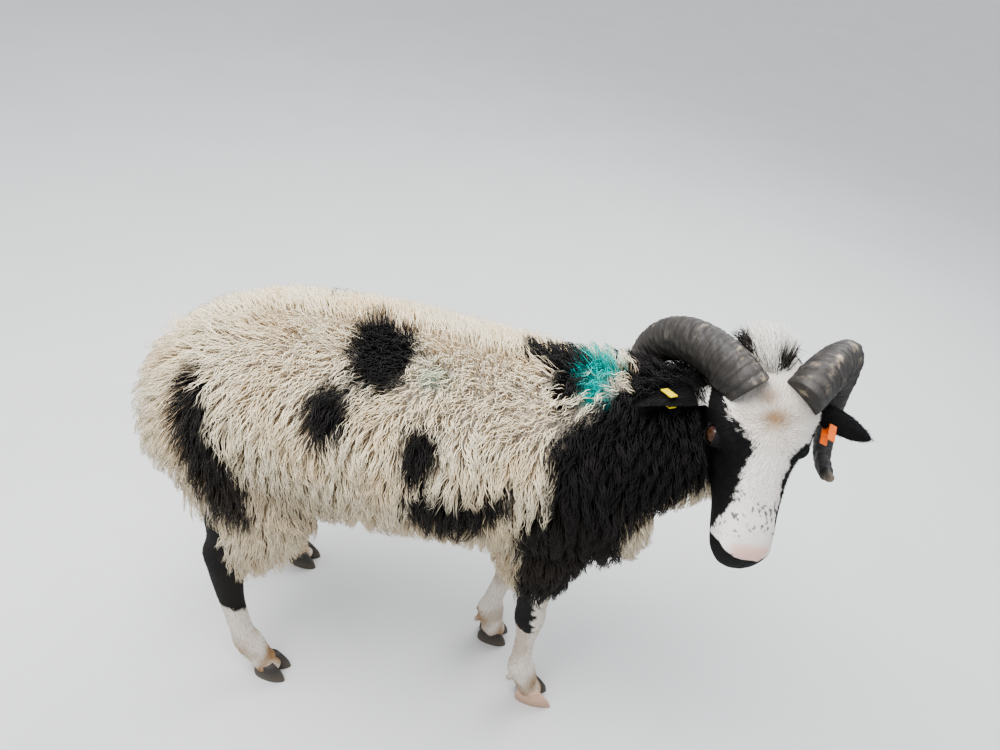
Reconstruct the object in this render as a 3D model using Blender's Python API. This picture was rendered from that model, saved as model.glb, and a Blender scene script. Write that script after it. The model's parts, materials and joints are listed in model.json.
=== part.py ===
"""A Jacob sheep, standing with its head turned to its right: a still model at life size.

The animal faces +X, its left side is +Y and the floor is z = 0. Sizes are in metres and angles
in degrees. Fleece sizes are those of the outside of the coat, out to its tips: the smooth core lies
inside them, and rounded clumps of wool stand on it.
"""

import math

import bmesh
import bpy
import numpy as np
from mathutils import Matrix
from mathutils.bvhtree import BVHTree

GAP = 0.0003
FAR = 2.0
THINNEST = 0.004
SHARP = 50.0
# From the middle of the box round the animal to the point under its heart
ORIGIN = (0.0746, 0.0, 0.0)

# Trunk: place along X, height of the back, height of the belly, half width
TRUNK = (
    (-0.388, 0.485, 0.430, 0.030),
    (-0.374, 0.540, 0.385, 0.078),
    (-0.335, 0.592, 0.355, 0.118),
    (-0.280, 0.630, 0.340, 0.141),
    (-0.200, 0.656, 0.338, 0.151),
    (-0.060, 0.668, 0.346, 0.152),
    (0.070, 0.664, 0.355, 0.147),
    (0.150, 0.665, 0.353, 0.140),
    (0.220, 0.660, 0.345, 0.128),
    (0.280, 0.622, 0.358, 0.106),
    (0.318, 0.572, 0.405, 0.072),
    (0.330, 0.530, 0.450, 0.030),
)
TRUNK_STEPS = 12
TRUNK_SIDES = 16
TRUNK_SQUARE = 0.92

# Clumps of fleece: half width, how far the tip stands out from the core, distance apart, and sides
LARGE = (0.054, 0.028, 0.073, 6)
MIDDLE = (0.046, 0.023, 0.062, 6)
SMALL = (0.032, 0.014, 0.044, 5)
TUFT = (0.022, 0.010, 0.027, 5)
CLUMP_ROOT = 0.5
# Share of the half width, share of the rise, and share of the half width that it is swept along the lie
CLUMP_PROFILE = ((1.00, 0.12, 0.00), (0.70, 0.72, 0.14))
CLUMP_TIP = 0.28
CLUMP_LONG = 1.12
CLUMP_SPREAD = 0.12
CLUMP_STRAY = 0.2
# The way the wool lies, and how near a clump's place must be to the outside of the core
LIE = (-0.40, 0.0, -0.92)
NEAR_CORE = 0.006
CLEAR = 0.012
TRIES = 60
FLEECE_MERGE = 5.0
CUT_MERGE = 0.1
SEED = 4

# Neck: share of its length, middle X, Y and Z, half width across, half depth, and how much narrower
# its crest is
NECK = (
    (0.00, 0.130, 0.000, 0.520, 0.120, 0.138),
    (0.30, 0.222, 0.004, 0.545, 0.118, 0.136),
    (0.60, 0.300, 0.016, 0.572, 0.104, 0.114),
    (0.85, 0.362, 0.038, 0.592, 0.088, 0.112),
    (1.00, 0.396, 0.046, 0.619, 0.066, 0.096),
)
NECK_STEPS = 7
NECK_SIDES = 14
NECK_PINCH = 0.42
# The cut between trunk and neck: a point on it, and its tilt back from upright
NECK_CUT = (0.222, 0.0, 0.640)
NECK_CUT_TILT = 22.0

# Head: its poll, between the horns, and how it is turned to the right, bent down and rolled
POLL = (0.402, -0.018, 0.706)
HEAD_YAW = 82.5
HEAD_PITCH = 50.0
HEAD_ROLL = -3.0
# The face is rolled further to the right than the horns: degrees, the height it turns about, and
# how far in front of the poll it is fully turned
FACE_TURN = 10.0
FACE_PIVOT = -0.012
FACE_TURNED = 0.060
# Along the head: place from the poll, height of the face and of the jaw, of the widest level,
# half width, and squareness above and below that level
SKULL = (
    (-0.052, -0.046, -0.072, -0.058, 0.014, 1.00, 1.00),
    (-0.044, -0.024, -0.096, -0.056, 0.034, 0.95, 1.00),
    (-0.020, -0.004, -0.118, -0.050, 0.052, 0.90, 1.00),
    (0.010, 0.006, -0.128, -0.040, 0.065, 0.82, 1.00),
    (0.035, 0.010, -0.130, -0.028, 0.068, 0.80, 1.00),
    (0.062, 0.010, -0.126, -0.030, 0.059, 0.82, 1.05),
    (0.090, 0.008, -0.121, -0.036, 0.046, 0.84, 1.05),
    (0.120, 0.004, -0.109, -0.038, 0.038, 0.86, 1.05),
    (0.150, -0.001, -0.095, -0.038, 0.035, 0.86, 1.00),
    (0.178, -0.006, -0.084, -0.040, 0.036, 0.86, 0.98),
    (0.198, -0.012, -0.075, -0.042, 0.035, 0.88, 0.95),
    (0.212, -0.021, -0.067, -0.044, 0.029, 0.92, 0.95),
    (0.222, -0.033, -0.062, -0.048, 0.020, 0.95, 0.95),
    (0.227, -0.042, -0.056, -0.049, 0.008, 1.00, 1.00),
)
SKULL_STEPS = 23
SKULL_SIDES = 16
# Bumps on the left of the skull: middle, half sizes and height of brow, hollow before the eye,
# cheek and nostril's wing
SKULL_HILLS = (
    ((0.068, 0.050, -0.014), (0.020, 0.022, 0.017), 0.0050),
    ((0.096, 0.040, -0.030), (0.020, 0.020, 0.012), -0.0022),
    ((0.060, 0.048, -0.078), (0.035, 0.022, 0.026), 0.0040),
    ((0.200, 0.022, -0.028), (0.012, 0.012, 0.009), 0.0024),
)

# Eyes, in the head's own frame: forward, to the side, up
EYE = (0.069, 0.0530, -0.029)
EYE_RADIUS = 0.0135
LID = 0.0024
EYE_LENGTH = 0.0125
EYE_OPENING = 0.0080
EYE_SLANT = 20.0
EYE_SIDES = 12
EYE_NET = (12, 7)
# How pointed the eye's corners are, and the reach and flare of what opens the lids
EYE_CORNER = 1.35
OPENING_REACH = 0.030
OPENING_FLARE = 1.24
# How much the opening rises for each metre outwards
OPENING_RISE = 0.35

# Horns, in the head's frame: a curl that tightens round a slanted axis
HORN_TURN = 241.0
HORN_START = 0.1100
HORN_SHRINK = 0.2025
HORN_DRIFT = -0.0224
HORN_MIDDLE = (0.0242, 0.0600, -0.1110)
HORN_STEPS = 31
HORN_SIDES = 8
HORN_RINGS = 16
HORN_RING_HEIGHT = 0.0012
HORN_RIDGE = 0.12
HORN_RIDGE_SHARP = 3
HORN_SQUARE = 0.9
# The line the curl winds round, the way to the horn's root from it, and how far back it starts
HORN_AXIS = (0.417, 0.878, 0.236)
HORN_FIRST = (-0.223, -0.153, 0.963)
HORN_BACK = -9.0
# Share of the horn's length, half width across the curl, half thickness
HORN_SECTION = (
    (0.00, 0.0330, 0.0260),
    (0.25, 0.0260, 0.0220),
    (0.50, 0.0185, 0.0165),
    (0.75, 0.0135, 0.0120),
    (0.92, 0.0090, 0.0080),
    (1.00, 0.0040, 0.0035),
)

# Legs: height, place along X, distance from the middle, half length and half width
FORE_LEG = (
    (0.430, 0.180, 0.066, 0.048, 0.030),
    (0.345, 0.188, 0.060, 0.036, 0.028),
    (0.285, 0.194, 0.056, 0.0260, 0.0210),
    (0.245, 0.197, 0.054, 0.0225, 0.0210),
    (0.215, 0.199, 0.053, 0.0235, 0.0225),
    (0.190, 0.201, 0.052, 0.0195, 0.0190),
    (0.150, 0.203, 0.051, 0.0152, 0.0145),
    (0.105, 0.205, 0.050, 0.0158, 0.0150),
    (0.075, 0.210, 0.049, 0.0225, 0.0200),
    (0.055, 0.216, 0.048, 0.0225, 0.0200),
    (0.038, 0.224, 0.048, 0.0190, 0.0185),
    (0.022, 0.232, 0.048, 0.0210, 0.0205),
    (0.009, 0.235, 0.048, 0.0165, 0.0180),
)
HIND_LEG = (
    (0.470, -0.232, 0.078, 0.085, 0.045),
    (0.380, -0.235, 0.088, 0.066, 0.040),
    (0.330, -0.240, 0.096, 0.048, 0.032),
    (0.295, -0.248, 0.102, 0.0370, 0.0250),
    (0.262, -0.258, 0.107, 0.0330, 0.0210),
    (0.235, -0.257, 0.110, 0.0270, 0.0190),
    (0.190, -0.254, 0.112, 0.0215, 0.0165),
    (0.140, -0.246, 0.113, 0.0178, 0.0150),
    (0.100, -0.238, 0.114, 0.0178, 0.0150),
    (0.070, -0.228, 0.114, 0.0235, 0.0200),
    (0.050, -0.219, 0.114, 0.0225, 0.0195),
    (0.035, -0.208, 0.114, 0.0190, 0.0185),
    (0.022, -0.198, 0.114, 0.0210, 0.0205),
    (0.009, -0.194, 0.114, 0.0165, 0.0180),
)
LEG_STEPS = 17
LEG_SIDES = 8
# How far each left foot stands behind the right one
FORE_STEP = 0.083
HIND_STEP = 0.030

# Fleece on the legs: height, place along X, distance from the middle, half length and half width
FORE_WOOL = (
    (0.430, 0.180, 0.064, 0.085, 0.058),
    (0.360, 0.182, 0.062, 0.066, 0.050),
    (0.320, 0.187, 0.058, 0.051, 0.042),
    (0.302, 0.190, 0.056, 0.038, 0.033),
    (0.292, 0.192, 0.055, 0.024, 0.022),
)
HIND_WOOL = (
    (0.540, -0.226, 0.070, 0.128, 0.068),
    (0.430, -0.220, 0.080, 0.116, 0.072),
    (0.370, -0.212, 0.088, 0.094, 0.066),
    (0.320, -0.213, 0.096, 0.072, 0.056),
    (0.280, -0.230, 0.102, 0.050, 0.041),
    (0.262, -0.237, 0.105, 0.028, 0.024),
)
WOOL_STEPS = 6
WOOL_SIDES = 12
# The cuts that part the legs from the trunk, and the hind legs' front cut
FORE_CUT = (0.095, 0.295, 0.338)
HIND_CUT = (-0.3655, -0.120, 0.420)

# Tail: height, place along X, half depth and half width
TAIL = (
    (0.560, -0.350, 0.022, 0.030),
    (0.520, -0.362, 0.031, 0.040),
    (0.470, -0.369, 0.030, 0.044),
    (0.415, -0.371, 0.027, 0.040),
    (0.375, -0.369, 0.020, 0.028),
    (0.360, -0.367, 0.009, 0.012),
)
TAIL_STEPS = 9
TAIL_SIDES = 12
TAIL_CUT = (-0.366, 0.047, 0.580)

# Wool between and behind the horns: middle in the head's frame and half sizes
TOPKNOT = (-0.026, -0.010, -0.022)
TOPKNOT_SIZE = (0.040, 0.043, 0.036)
TOPKNOT_NET = (10, 7)

# Claws: height, heel and toe from the middle of the foot, half width
CLAW = (
    (0.0000, -0.0230, 0.0290, 0.0098),
    (0.0100, -0.0235, 0.0262, 0.0108),
    (0.0210, -0.0205, 0.0190, 0.0100),
    (0.0310, -0.0120, 0.0110, 0.0070),
)
CLAW_APART = 0.0112
CLAW_SPLAY = 5.0
CLAW_SIDES = 8
CLAW_POINT = 0.35
CLAW_SQUARE = 0.8
# How much longer the toe of the overgrown claw is, on the right forefoot
CLAW_OVERGROWN = 0.010
FORE_FOOT = (0.236, 0.048)
HIND_FOOT = (-0.192, 0.114)
# Dewclaws: half sizes, and place behind, beside and above the middle of the foot
DEWCLAW = (0.0060, 0.0050, 0.0075)
DEWCLAW_PLACE = (0.0415, 0.0110, 0.0530)
DEWCLAW_NET = (6, 5)

# Ears, in the head's frame, both written as left ones: the right one is held higher and is rolled
# forward towards its tip
EAR_ROOT = (0.017, 0.051, -0.044)
EAR_TIP_LEFT = (0.048, 0.147, -0.054)
EAR_TIP_RIGHT = (0.050, 0.162, -0.004)
EAR_FACES = (0.45, 0.05, -0.89)
EAR_ROLL_RIGHT = 58.0
# Share of the ear's length, half width, thickness and depth of the cup
EAR = (
    (0.00, 0.0110, 0.0120, 0.0020),
    (0.16, 0.0150, 0.0070, 0.0070),
    (0.40, 0.0215, 0.0042, 0.0095),
    (0.65, 0.0200, 0.0034, 0.0075),
    (0.86, 0.0125, 0.0028, 0.0040),
    (1.00, 0.0030, 0.0020, 0.0006),
)
EAR_STEPS = 9
EAR_SIDES = 6
EAR_RIM = 0.3
# Ear tags: share of the ear's length and offset across it of the pin, how far below the pin the
# plates' middle hangs, and sizes of plate and pin
TAG_RIGHT = (0.64, 0.004, 0.000)
TAG_LEFT = (0.38, 0.018, 0.009)
TAG_LENGTH = 0.022
TAG_WIDTH = 0.010
TAG_THICK = 0.0022
TAG_ROOM = 0.0060
TAG_PIN = 0.0022
TAG_DROP = 0.006

# Mouth and nostrils, in the head's frame
MOUTH_CORNER = (0.180, 0.0300, -0.0570)
MOUTH_FRONT = (0.2250, 0.0, -0.0510)
MOUTH_THICK = 0.0008
MOUTH_DEEP = 0.0040
MOUTH_REACH = 0.012
MOUTH_STEPS = 10
MOUTH_CURVE = 0.8
MOUTH_INNER = 0.4
MOUTH_OUTER = 2.0
NOSTRIL = (0.2085, 0.0185, -0.0270)
NOSTRIL_SIZE = (0.0048, 0.0026, 0.0070)
NOSTRIL_TURN = 35.0
NOSTRIL_LEAN = -25.0
NOSTRIL_NET = (8, 5)

# Colour and roughness of each finish
WHITE_WOOL = ((0.74, 0.66, 0.52), 0.9)
BLACK_WOOL = ((0.012, 0.011, 0.012), 0.9)
BLACK_HAIR = ((0.012, 0.011, 0.012), 0.8)
GREY_HORN = ((0.085, 0.075, 0.065), 0.55)
BROWN_EYE = ((0.035, 0.014, 0.006), 0.08)
BLACK_CLAW = ((0.022, 0.018, 0.016), 0.5)
PALE_CLAW = ((0.480, 0.320, 0.240), 0.5)
YELLOW_TAG = ((0.72, 0.60, 0.04), 0.4)
ORANGE_TAG = ((0.80, 0.16, 0.02), 0.4)


def clear():
    for obj in list(bpy.data.objects):
        bpy.data.objects.remove(obj, do_unlink=True)


def material(name, look):
    colour, roughness = look
    made = bpy.data.materials.new(name)
    made.use_nodes = True
    shader = made.node_tree.nodes["Principled BSDF"]
    shader.inputs["Base Color"].default_value = (*colour, 1.0)
    shader.inputs["Roughness"].default_value = roughness
    return made


def sampled(table, steps):
    """A table's rows read at even steps by a cubic that passes through them and never overshoots."""
    rows = np.array(table, float)
    slope = np.diff(rows, axis=0)
    before, after = slope[:-1], slope[1:]
    total = before + after
    inner = np.where(before * after > 0, 2 * before * after / np.where(total == 0, 1, total), 0)
    slopes = np.vstack([slope[:1], inner, slope[-1:]])
    place = np.linspace(0, len(rows) - 1, steps)
    first = np.minimum(place.astype(int), len(rows) - 2)
    t = (place - first)[:, None]
    start, end = rows[first], rows[first + 1]
    bend = (2 * t**3 - 3 * t**2 + 1) * start + (3 * t**2 - 2 * t**3) * end
    return bend + (t**3 - 2 * t**2 + t) * slopes[first] + (t**3 - t**2) * slopes[first + 1]


def unit(vector):
    vector = np.asarray(vector, float)
    return vector / np.linalg.norm(vector)


def power(value, exponent):
    return np.sign(value) * np.abs(value) ** exponent


def around(sides):
    return np.arange(sides) * 2 * math.pi / sides


def solid(name, points, faces):
    """A closed mesh object with its faces pointing out."""
    mesh = bpy.data.meshes.new(name)
    mesh.from_pydata([tuple(point) for point in points], [], faces)
    shell = bmesh.new()
    shell.from_mesh(mesh)
    bmesh.ops.recalc_face_normals(shell, faces=shell.faces)
    if shell.calc_volume(signed=True) < 0:
        bmesh.ops.reverse_faces(shell, faces=shell.faces)
    shell.to_mesh(mesh)
    shell.free()
    obj = bpy.data.objects.new(name, mesh)
    bpy.context.collection.objects.link(obj)
    return obj


def loft(name, rings, tip=None):
    """A closed skin over rings of like count, with a point in the middle of each end or at the tip."""
    rings = np.asarray(rings, float)
    count, sides = rings.shape[:2]
    tip = rings[-1].mean(axis=0) if tip is None else tip
    points = np.vstack([rings.reshape(-1, 3), rings[0].mean(axis=0), tip])
    first, last = count * sides, count * sides + 1
    faces = []
    for side in range(sides):
        other = (side + 1) % sides
        faces.append((first, other, side))
        faces.append((last, (count - 1) * sides + side, (count - 1) * sides + other))
        for ring in range(count - 1):
            a, b = ring * sides + side, ring * sides + other
            faces += [(a, b, b + sides), (a, b + sides, a + sides)]
    return solid(name, points, faces)


def box(name, low, high, frame=None):
    """A box between two corners, turned into a frame where one is given."""
    points = [(x, y, z) for x in (low[0], high[0]) for y in (low[1], high[1]) for z in (low[2], high[2])]
    faces = [(0, 1, 3, 2), (4, 6, 7, 5), (0, 4, 5, 1), (2, 3, 7, 6), (0, 2, 6, 4), (1, 5, 7, 3)]
    made = solid(name, points, faces)
    if frame is not None:
        made.data.transform(frame)
    return made


def ball(name, middle, size, columns, rows):
    """An ellipsoid by its middle and half sizes."""
    mesh = bpy.data.meshes.new(name)
    shell = bmesh.new()
    bmesh.ops.create_uvsphere(shell, u_segments=columns, v_segments=rows, radius=1.0)
    bmesh.ops.triangulate(shell, faces=shell.faces)
    shell.to_mesh(mesh)
    shell.free()
    mesh.transform(Matrix.Translation(middle) @ Matrix.Diagonal((*size, 1.0)))
    obj = bpy.data.objects.new(name, mesh)
    bpy.context.collection.objects.link(obj)
    return obj


def combine(obj, operation, others, solver="EXACT"):
    """Joins to, cuts from or keeps inside other objects, which are then removed."""
    group = bpy.data.collections.new("tools")
    bpy.context.scene.collection.children.link(group)
    for other in others:
        group.objects.link(other)
    modifier = obj.modifiers.new("boolean", "BOOLEAN")
    modifier.operation = operation
    modifier.solver = solver
    modifier.operand_type = "COLLECTION"
    modifier.collection = group
    result = bpy.data.meshes.new_from_object(obj.evaluated_get(bpy.context.evaluated_depsgraph_get()))
    obj.modifiers.clear()
    obj.data = result
    for other in others:
        bpy.data.objects.remove(other, do_unlink=True)
    bpy.data.collections.remove(group)
    return obj


def keep_largest(obj):
    """Keeps the largest closed surface of a mesh."""
    shell = bmesh.new()
    shell.from_mesh(obj.data)
    waiting = set(shell.verts)
    bodies = []
    while waiting:
        body, edge = set(), [waiting.pop()]
        while edge:
            vertex = edge.pop()
            body.add(vertex)
            near = {link.other_vert(vertex) for link in vertex.link_edges} & waiting
            waiting -= near
            edge.extend(near)
        bodies.append(body)
    spans = [np.ptp(np.array([v.co for v in body]), axis=0).prod() for body in bodies]
    kept = bodies[int(np.argmax(spans))]
    loose = [vertex for vertex in shell.verts if vertex not in kept]
    bmesh.ops.delete(shell, geom=loose, context="VERTS")
    shell.to_mesh(obj.data)
    shell.free()
    return obj


def merged(obj, angle):
    """Makes one face of each patch whose faces turn by less than this angle, then splits it anew."""
    shell = bmesh.new()
    shell.from_mesh(obj.data)
    bmesh.ops.dissolve_limit(shell, angle_limit=math.radians(angle), verts=shell.verts, edges=shell.edges)
    bmesh.ops.triangulate(shell, faces=shell.faces)
    shell.to_mesh(obj.data)
    shell.free()
    return obj


def copied(obj, name):
    twin = bpy.data.objects.new(name, obj.data.copy())
    bpy.context.collection.objects.link(twin)
    return twin


def finish(obj, name, look):
    """Names a node, moves it into the animal's own frame and gives it its material."""
    obj.name = name
    obj.data.name = name
    obj.data.transform(Matrix.Translation([-value for value in ORIGIN]))
    obj.data.materials.clear()
    obj.data.materials.append(material(name, look))
    obj.data.shade_smooth()
    obj.data.set_sharp_from_angle(angle=math.radians(SHARP))
    return obj


def head_frame():
    """From the head's frame, forward, left and up from the poll, to the animal's."""
    pitch = Matrix.Rotation(math.radians(HEAD_PITCH), 4, "Y")
    roll = Matrix.Rotation(math.radians(-HEAD_ROLL), 4, "X")
    yaw = Matrix.Rotation(math.radians(-HEAD_YAW), 4, "Z")
    return Matrix.Translation(POLL) @ yaw @ pitch @ roll


def face_turned(obj):
    """Rolls a piece of the head that belongs to the face."""
    for vertex in obj.data.vertices:
        share = min(max(vertex.co.x / FACE_TURNED, 0.0), 1.0)
        angle = math.radians(FACE_TURN) * share**2 * (3 - 2 * share)
        y, z = vertex.co.y, vertex.co.z - FACE_PIVOT
        vertex.co.y = y * math.cos(angle) + z * math.sin(angle)
        vertex.co.z = z * math.cos(angle) - y * math.sin(angle) + FACE_PIVOT
    return obj


def mirrored(obj):
    """Turns a left piece, in a frame with its middle at Y = 0, into a right one."""
    obj.data.transform(Matrix.Scale(-1.0, 4, (0.0, 1.0, 0.0)))
    obj.data.flip_normals()
    return obj


def trunk_form(inset):
    rings = []
    angle = around(TRUNK_SIDES)
    for x, top, bottom, half in sampled(TRUNK, TRUNK_STEPS):
        middle, tall = (top + bottom) / 2, max((top - bottom) / 2 - inset, THINNEST)
        wide = max(half - inset, THINNEST)
        y = wide * power(np.sin(angle), TRUNK_SQUARE)
        z = middle + tall * power(np.cos(angle), TRUNK_SQUARE)
        place = np.clip(x, TRUNK[0][0] + inset, TRUNK[-1][0] - inset)
        rings.append(np.stack([np.full_like(y, place), y, z], axis=1))
    return loft("trunk", rings)


def neck_form(inset):
    rows = sampled(NECK, NECK_STEPS)
    path = rows[:, 1:4]
    along = np.gradient(path, axis=0)
    angle = around(NECK_SIDES)
    rings = []
    for share, middle, forward, (wide, deep) in zip(rows[:, 0], path, along, rows[:, 4:6]):
        forward = unit(forward)
        side = unit(np.cross((0.0, 0.0, 1.0), forward))
        up = np.cross(forward, side)
        pinch = 1 - NECK_PINCH * share * np.maximum(np.cos(angle), 0)
        across = max(wide - inset, THINNEST) * (np.sin(angle) * pinch)[:, None] * side
        rings.append(middle + across + max(deep - inset, THINNEST) * np.cos(angle)[:, None] * up)
    return loft("neck", rings)


def upright_form(name, table, steps, sides, inset, swing):
    """A limb or its wool, by level rings. Its foot may swing back from the top."""
    top = table[0][0]
    angle = around(sides)
    rings = []
    for z, x, y, long, wide in sampled(table, steps):
        middle = x - swing * (1 - min(z / top, 1.0))
        along = middle + max(long - inset, THINNEST) * np.cos(angle)
        across = y + max(wide - inset, THINNEST) * np.sin(angle)
        rings.append(np.stack([along, across, np.full_like(along, z)], axis=1))
    return loft(name, rings)


def tail_form(inset):
    rings = []
    angle = around(TAIL_SIDES)
    for z, x, deep, wide in sampled(TAIL, TAIL_STEPS):
        along = x + max(deep - inset, THINNEST) * np.cos(angle)
        across = max(wide - inset, THINNEST) * np.sin(angle)
        rings.append(np.stack([along, across, np.full_like(along, z)], axis=1))
    return loft("tail", rings)


def hill(points, middle, size, height):
    """How far a smooth bump, the same on left and right, raises each point."""
    apart = (points * (1, 0, 1) + np.abs(points) * (0, 1, 0) - middle) / size
    return height * np.exp(-(apart**2).sum(axis=-1))


def skull_form(grow):
    """The head without its wool, ears, horns and eyes, in its own frame."""
    angle = around(SKULL_SIDES)
    upper = np.cos(angle) >= 0
    rings = []
    for n, top, bottom, level, half, square, low_square in sampled(SKULL, SKULL_STEPS):
        tall = np.where(upper, top - level, level - bottom) + grow
        exponent = np.where(upper, square, low_square)
        side = (half + grow) * power(np.sin(angle), exponent)
        up = level + tall * power(np.cos(angle), exponent)
        points = np.stack([np.full_like(side, n), side, up], axis=1)
        outward = points - (n, 0.0, level)
        outward /= np.linalg.norm(outward, axis=1)[:, None]
        raised = sum(hill(points, *each) for each in SKULL_HILLS)
        rings.append(points + outward * raised[:, None])
    rings[0][:, 0] -= grow
    rings[-1][:, 0] += grow
    return loft("skull", rings)


def topknot_form(grow):
    """The wool between the horns: a core with small clumps all round it."""
    _, rise, _, _ = TUFT
    size = np.array(TOPKNOT_SIZE) - rise
    core = ball("topknot", TOPKNOT, size + grow, *TOPKNOT_NET)
    form = ball("form", TOPKNOT, size, *TOPKNOT_NET)
    clumps = scattered(form, TUFT, surface(form), [], np.random.default_rng(SEED), [], grow)
    return combine(core, "UNION", clumps, "MANIFOLD")


def horn_form(grow):
    """The left horn in the head's frame, ringed and narrowing to its tip."""
    axis = unit(HORN_AXIS)
    first = np.array(HORN_FIRST)
    first = unit(first - first.dot(axis) * axis)
    second = np.cross(first, axis)
    turns = np.radians(np.linspace(HORN_BACK, HORN_TURN, HORN_STEPS))
    share = np.clip(turns / math.radians(HORN_TURN), 0, 1)
    reach = HORN_START * np.exp(-HORN_SHRINK * turns)
    path = np.array(HORN_MIDDLE) + np.outer(HORN_DRIFT * -turns, axis)
    path = path + np.outer(reach * np.cos(turns), first) + np.outer(reach * np.sin(turns), second)
    along = np.gradient(path, axis=0)
    table = np.array(HORN_SECTION)
    angle = around(HORN_SIDES)
    rings = []
    for middle, forward, turn, part in zip(path, along, turns, share):
        forward = unit(forward)
        out = math.cos(turn) * first + math.sin(turn) * second
        out = unit(out - out.dot(forward) * forward)
        side = np.cross(forward, out)
        wave = HORN_RING_HEIGHT * (1 - part) * math.cos(part * HORN_RINGS * 2 * math.pi)
        wide = np.interp(part, table[:, 0], table[:, 1]) + wave + grow
        thick = np.interp(part, table[:, 0], table[:, 2]) + wave + grow
        ridge = 1 + HORN_RIDGE * np.maximum(np.cos(angle), 0) ** HORN_RIDGE_SHARP
        flat = wide * (np.cos(angle) * ridge)[:, None] * out
        rings.append(middle + flat + thick * power(np.sin(angle), HORN_SQUARE)[:, None] * side)
    rings[0] = rings[0] - unit(along[0]) * grow
    rings[-1] = rings[-1] + unit(along[-1]) * grow
    return loft("horn", rings)


def ear_axes(right, share):
    """A place along the middle of the ear, the way to its tip, the way it opens, and across it."""
    root, tip = np.array(EAR_ROOT), np.array(EAR_TIP_RIGHT if right else EAR_TIP_LEFT)
    along = unit(tip - root)
    face = np.array(EAR_FACES)
    face = unit(face - face.dot(along) * along)
    across = np.cross(face, along)
    roll = math.radians(EAR_ROLL_RIGHT if right else 0.0) * share
    rolled = math.cos(roll) * face + math.sin(roll) * across
    return root + share * (tip - root), along, rolled, np.cross(rolled, along)


def ear_form(right, grow):
    """An ear, as a left one in the head's frame: a pointed leaf, cupped towards the front."""
    place = np.linspace(-1, 1, EAR_SIDES)
    edge = 1 - place**2
    rings = []
    for share, half, thick, cup in sampled(EAR, EAR_STEPS):
        middle, along, face, across = ear_axes(right, share)
        wall = (EAR_RIM + (1 - EAR_RIM) * edge) * thick / 2 + grow
        back, front = -cup * edge - wall, -cup * edge + wall
        side = np.concatenate([place, place[::-1]]) * (half + grow)
        depth = np.concatenate([back, front[::-1]])
        rings.append(middle + np.outer(side, across) + np.outer(depth, face))
    rings[0] = rings[0] - along * grow
    rings[-1] = rings[-1] + along * grow
    return loft("ear", rings)


def tag_form(right, grow):
    """An ear tag: a plate on each face of the ear and a pin through it between them."""
    share, offset, hang = TAG_RIGHT if right else TAG_LEFT
    middle, along, face, across = ear_axes(right, share)
    frame = Matrix(np.stack([along, across, face], axis=1).tolist()).to_4x4()
    frame = Matrix.Translation(middle + offset * across - TAG_DROP * face) @ frame
    half = np.array((TAG_WIDTH / 2, TAG_LENGTH / 2, TAG_THICK / 2)) + grow
    plates = []
    for side in (-1, 1):
        lift = np.array((0.0, hang, side * (TAG_ROOM + TAG_THICK / 2)))
        plates.append(box("plate", lift - half, lift + half, frame))
    reach = np.array((TAG_PIN + grow, TAG_PIN + grow, TAG_ROOM + TAG_THICK / 2))
    pin = box("pin", -reach, reach, frame)
    return combine(pin, "UNION", plates)


def claw_form(foot, outer, longer, grow):
    """One claw of a left foot, flat below and pointed in front."""
    angle = around(CLAW_SIDES)
    ahead = np.maximum(np.cos(angle), 0)
    rings = []
    for z, heel, toe, half in CLAW:
        long, middle = (toe - heel) / 2 + grow, (toe + heel) / 2
        narrow = 1 - CLAW_POINT * ahead**2
        along = middle + long * power(np.cos(angle), CLAW_SQUARE) + longer * ahead * (1 - z / CLAW[-1][0])
        across = (half + grow) * power(np.sin(angle), CLAW_SQUARE) * narrow
        rings.append(np.stack([along, across, np.full_like(along, z)], axis=1))
    rings[0][:, 2] -= grow
    rings[-1][:, 2] += grow
    made = loft("claw", rings)
    side = 1 if outer else -1
    turn = Matrix.Rotation(math.radians(side * CLAW_SPLAY), 4, "Z")
    made.data.transform(Matrix.Translation((foot[0], foot[1] + side * CLAW_APART, 0.0)) @ turn)
    return made


def lid_cutters(grow):
    """What opens the left eye: the almond between the lids, and the ball's own socket."""
    angle = around(EYE_SIDES)
    almond = np.stack([EYE_LENGTH * np.cos(angle), EYE_OPENING * power(np.sin(angle), EYE_CORNER)], axis=1)
    tilt = math.radians(-EYE_SLANT)
    turned = almond @ np.array([[math.cos(tilt), math.sin(tilt)], [-math.sin(tilt), math.cos(tilt)]])
    rings = []
    for out, spread in ((0.0, 1.0), (OPENING_REACH, OPENING_FLARE)):
        rise = EYE[2] + OPENING_RISE * out
        rings.append([(EYE[0] + x * spread, EYE[1] + out, rise + z * spread) for x, z in turned])
    socket = ball("socket", EYE, [EYE_RADIUS + grow] * 3, *EYE_NET)
    return [loft("opening", rings), socket]


def mouth_cutter():
    """A thin band that runs round the muzzle from corner to corner along the line of the mouth."""
    corner, front = np.array(MOUTH_CORNER), np.array(MOUTH_FRONT)
    turn = np.radians(np.linspace(-90, 90, MOUTH_STEPS))
    rings = []
    for angle in turn:
        point = corner + (front - corner) * math.cos(angle) ** MOUTH_CURVE
        point[1] = corner[1] * math.sin(angle)
        out = np.array((math.cos(angle), math.sin(angle), 0.0))
        inner, outer = point - out * MOUTH_DEEP, point + out * MOUTH_REACH
        thin, thick = (np.array((0.0, 0.0, MOUTH_THICK * share)) for share in (MOUTH_INNER, MOUTH_OUTER))
        rings.append([inner - thin, outer - thick, outer + thick, inner + thin])
    return loft("mouth", rings)


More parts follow.
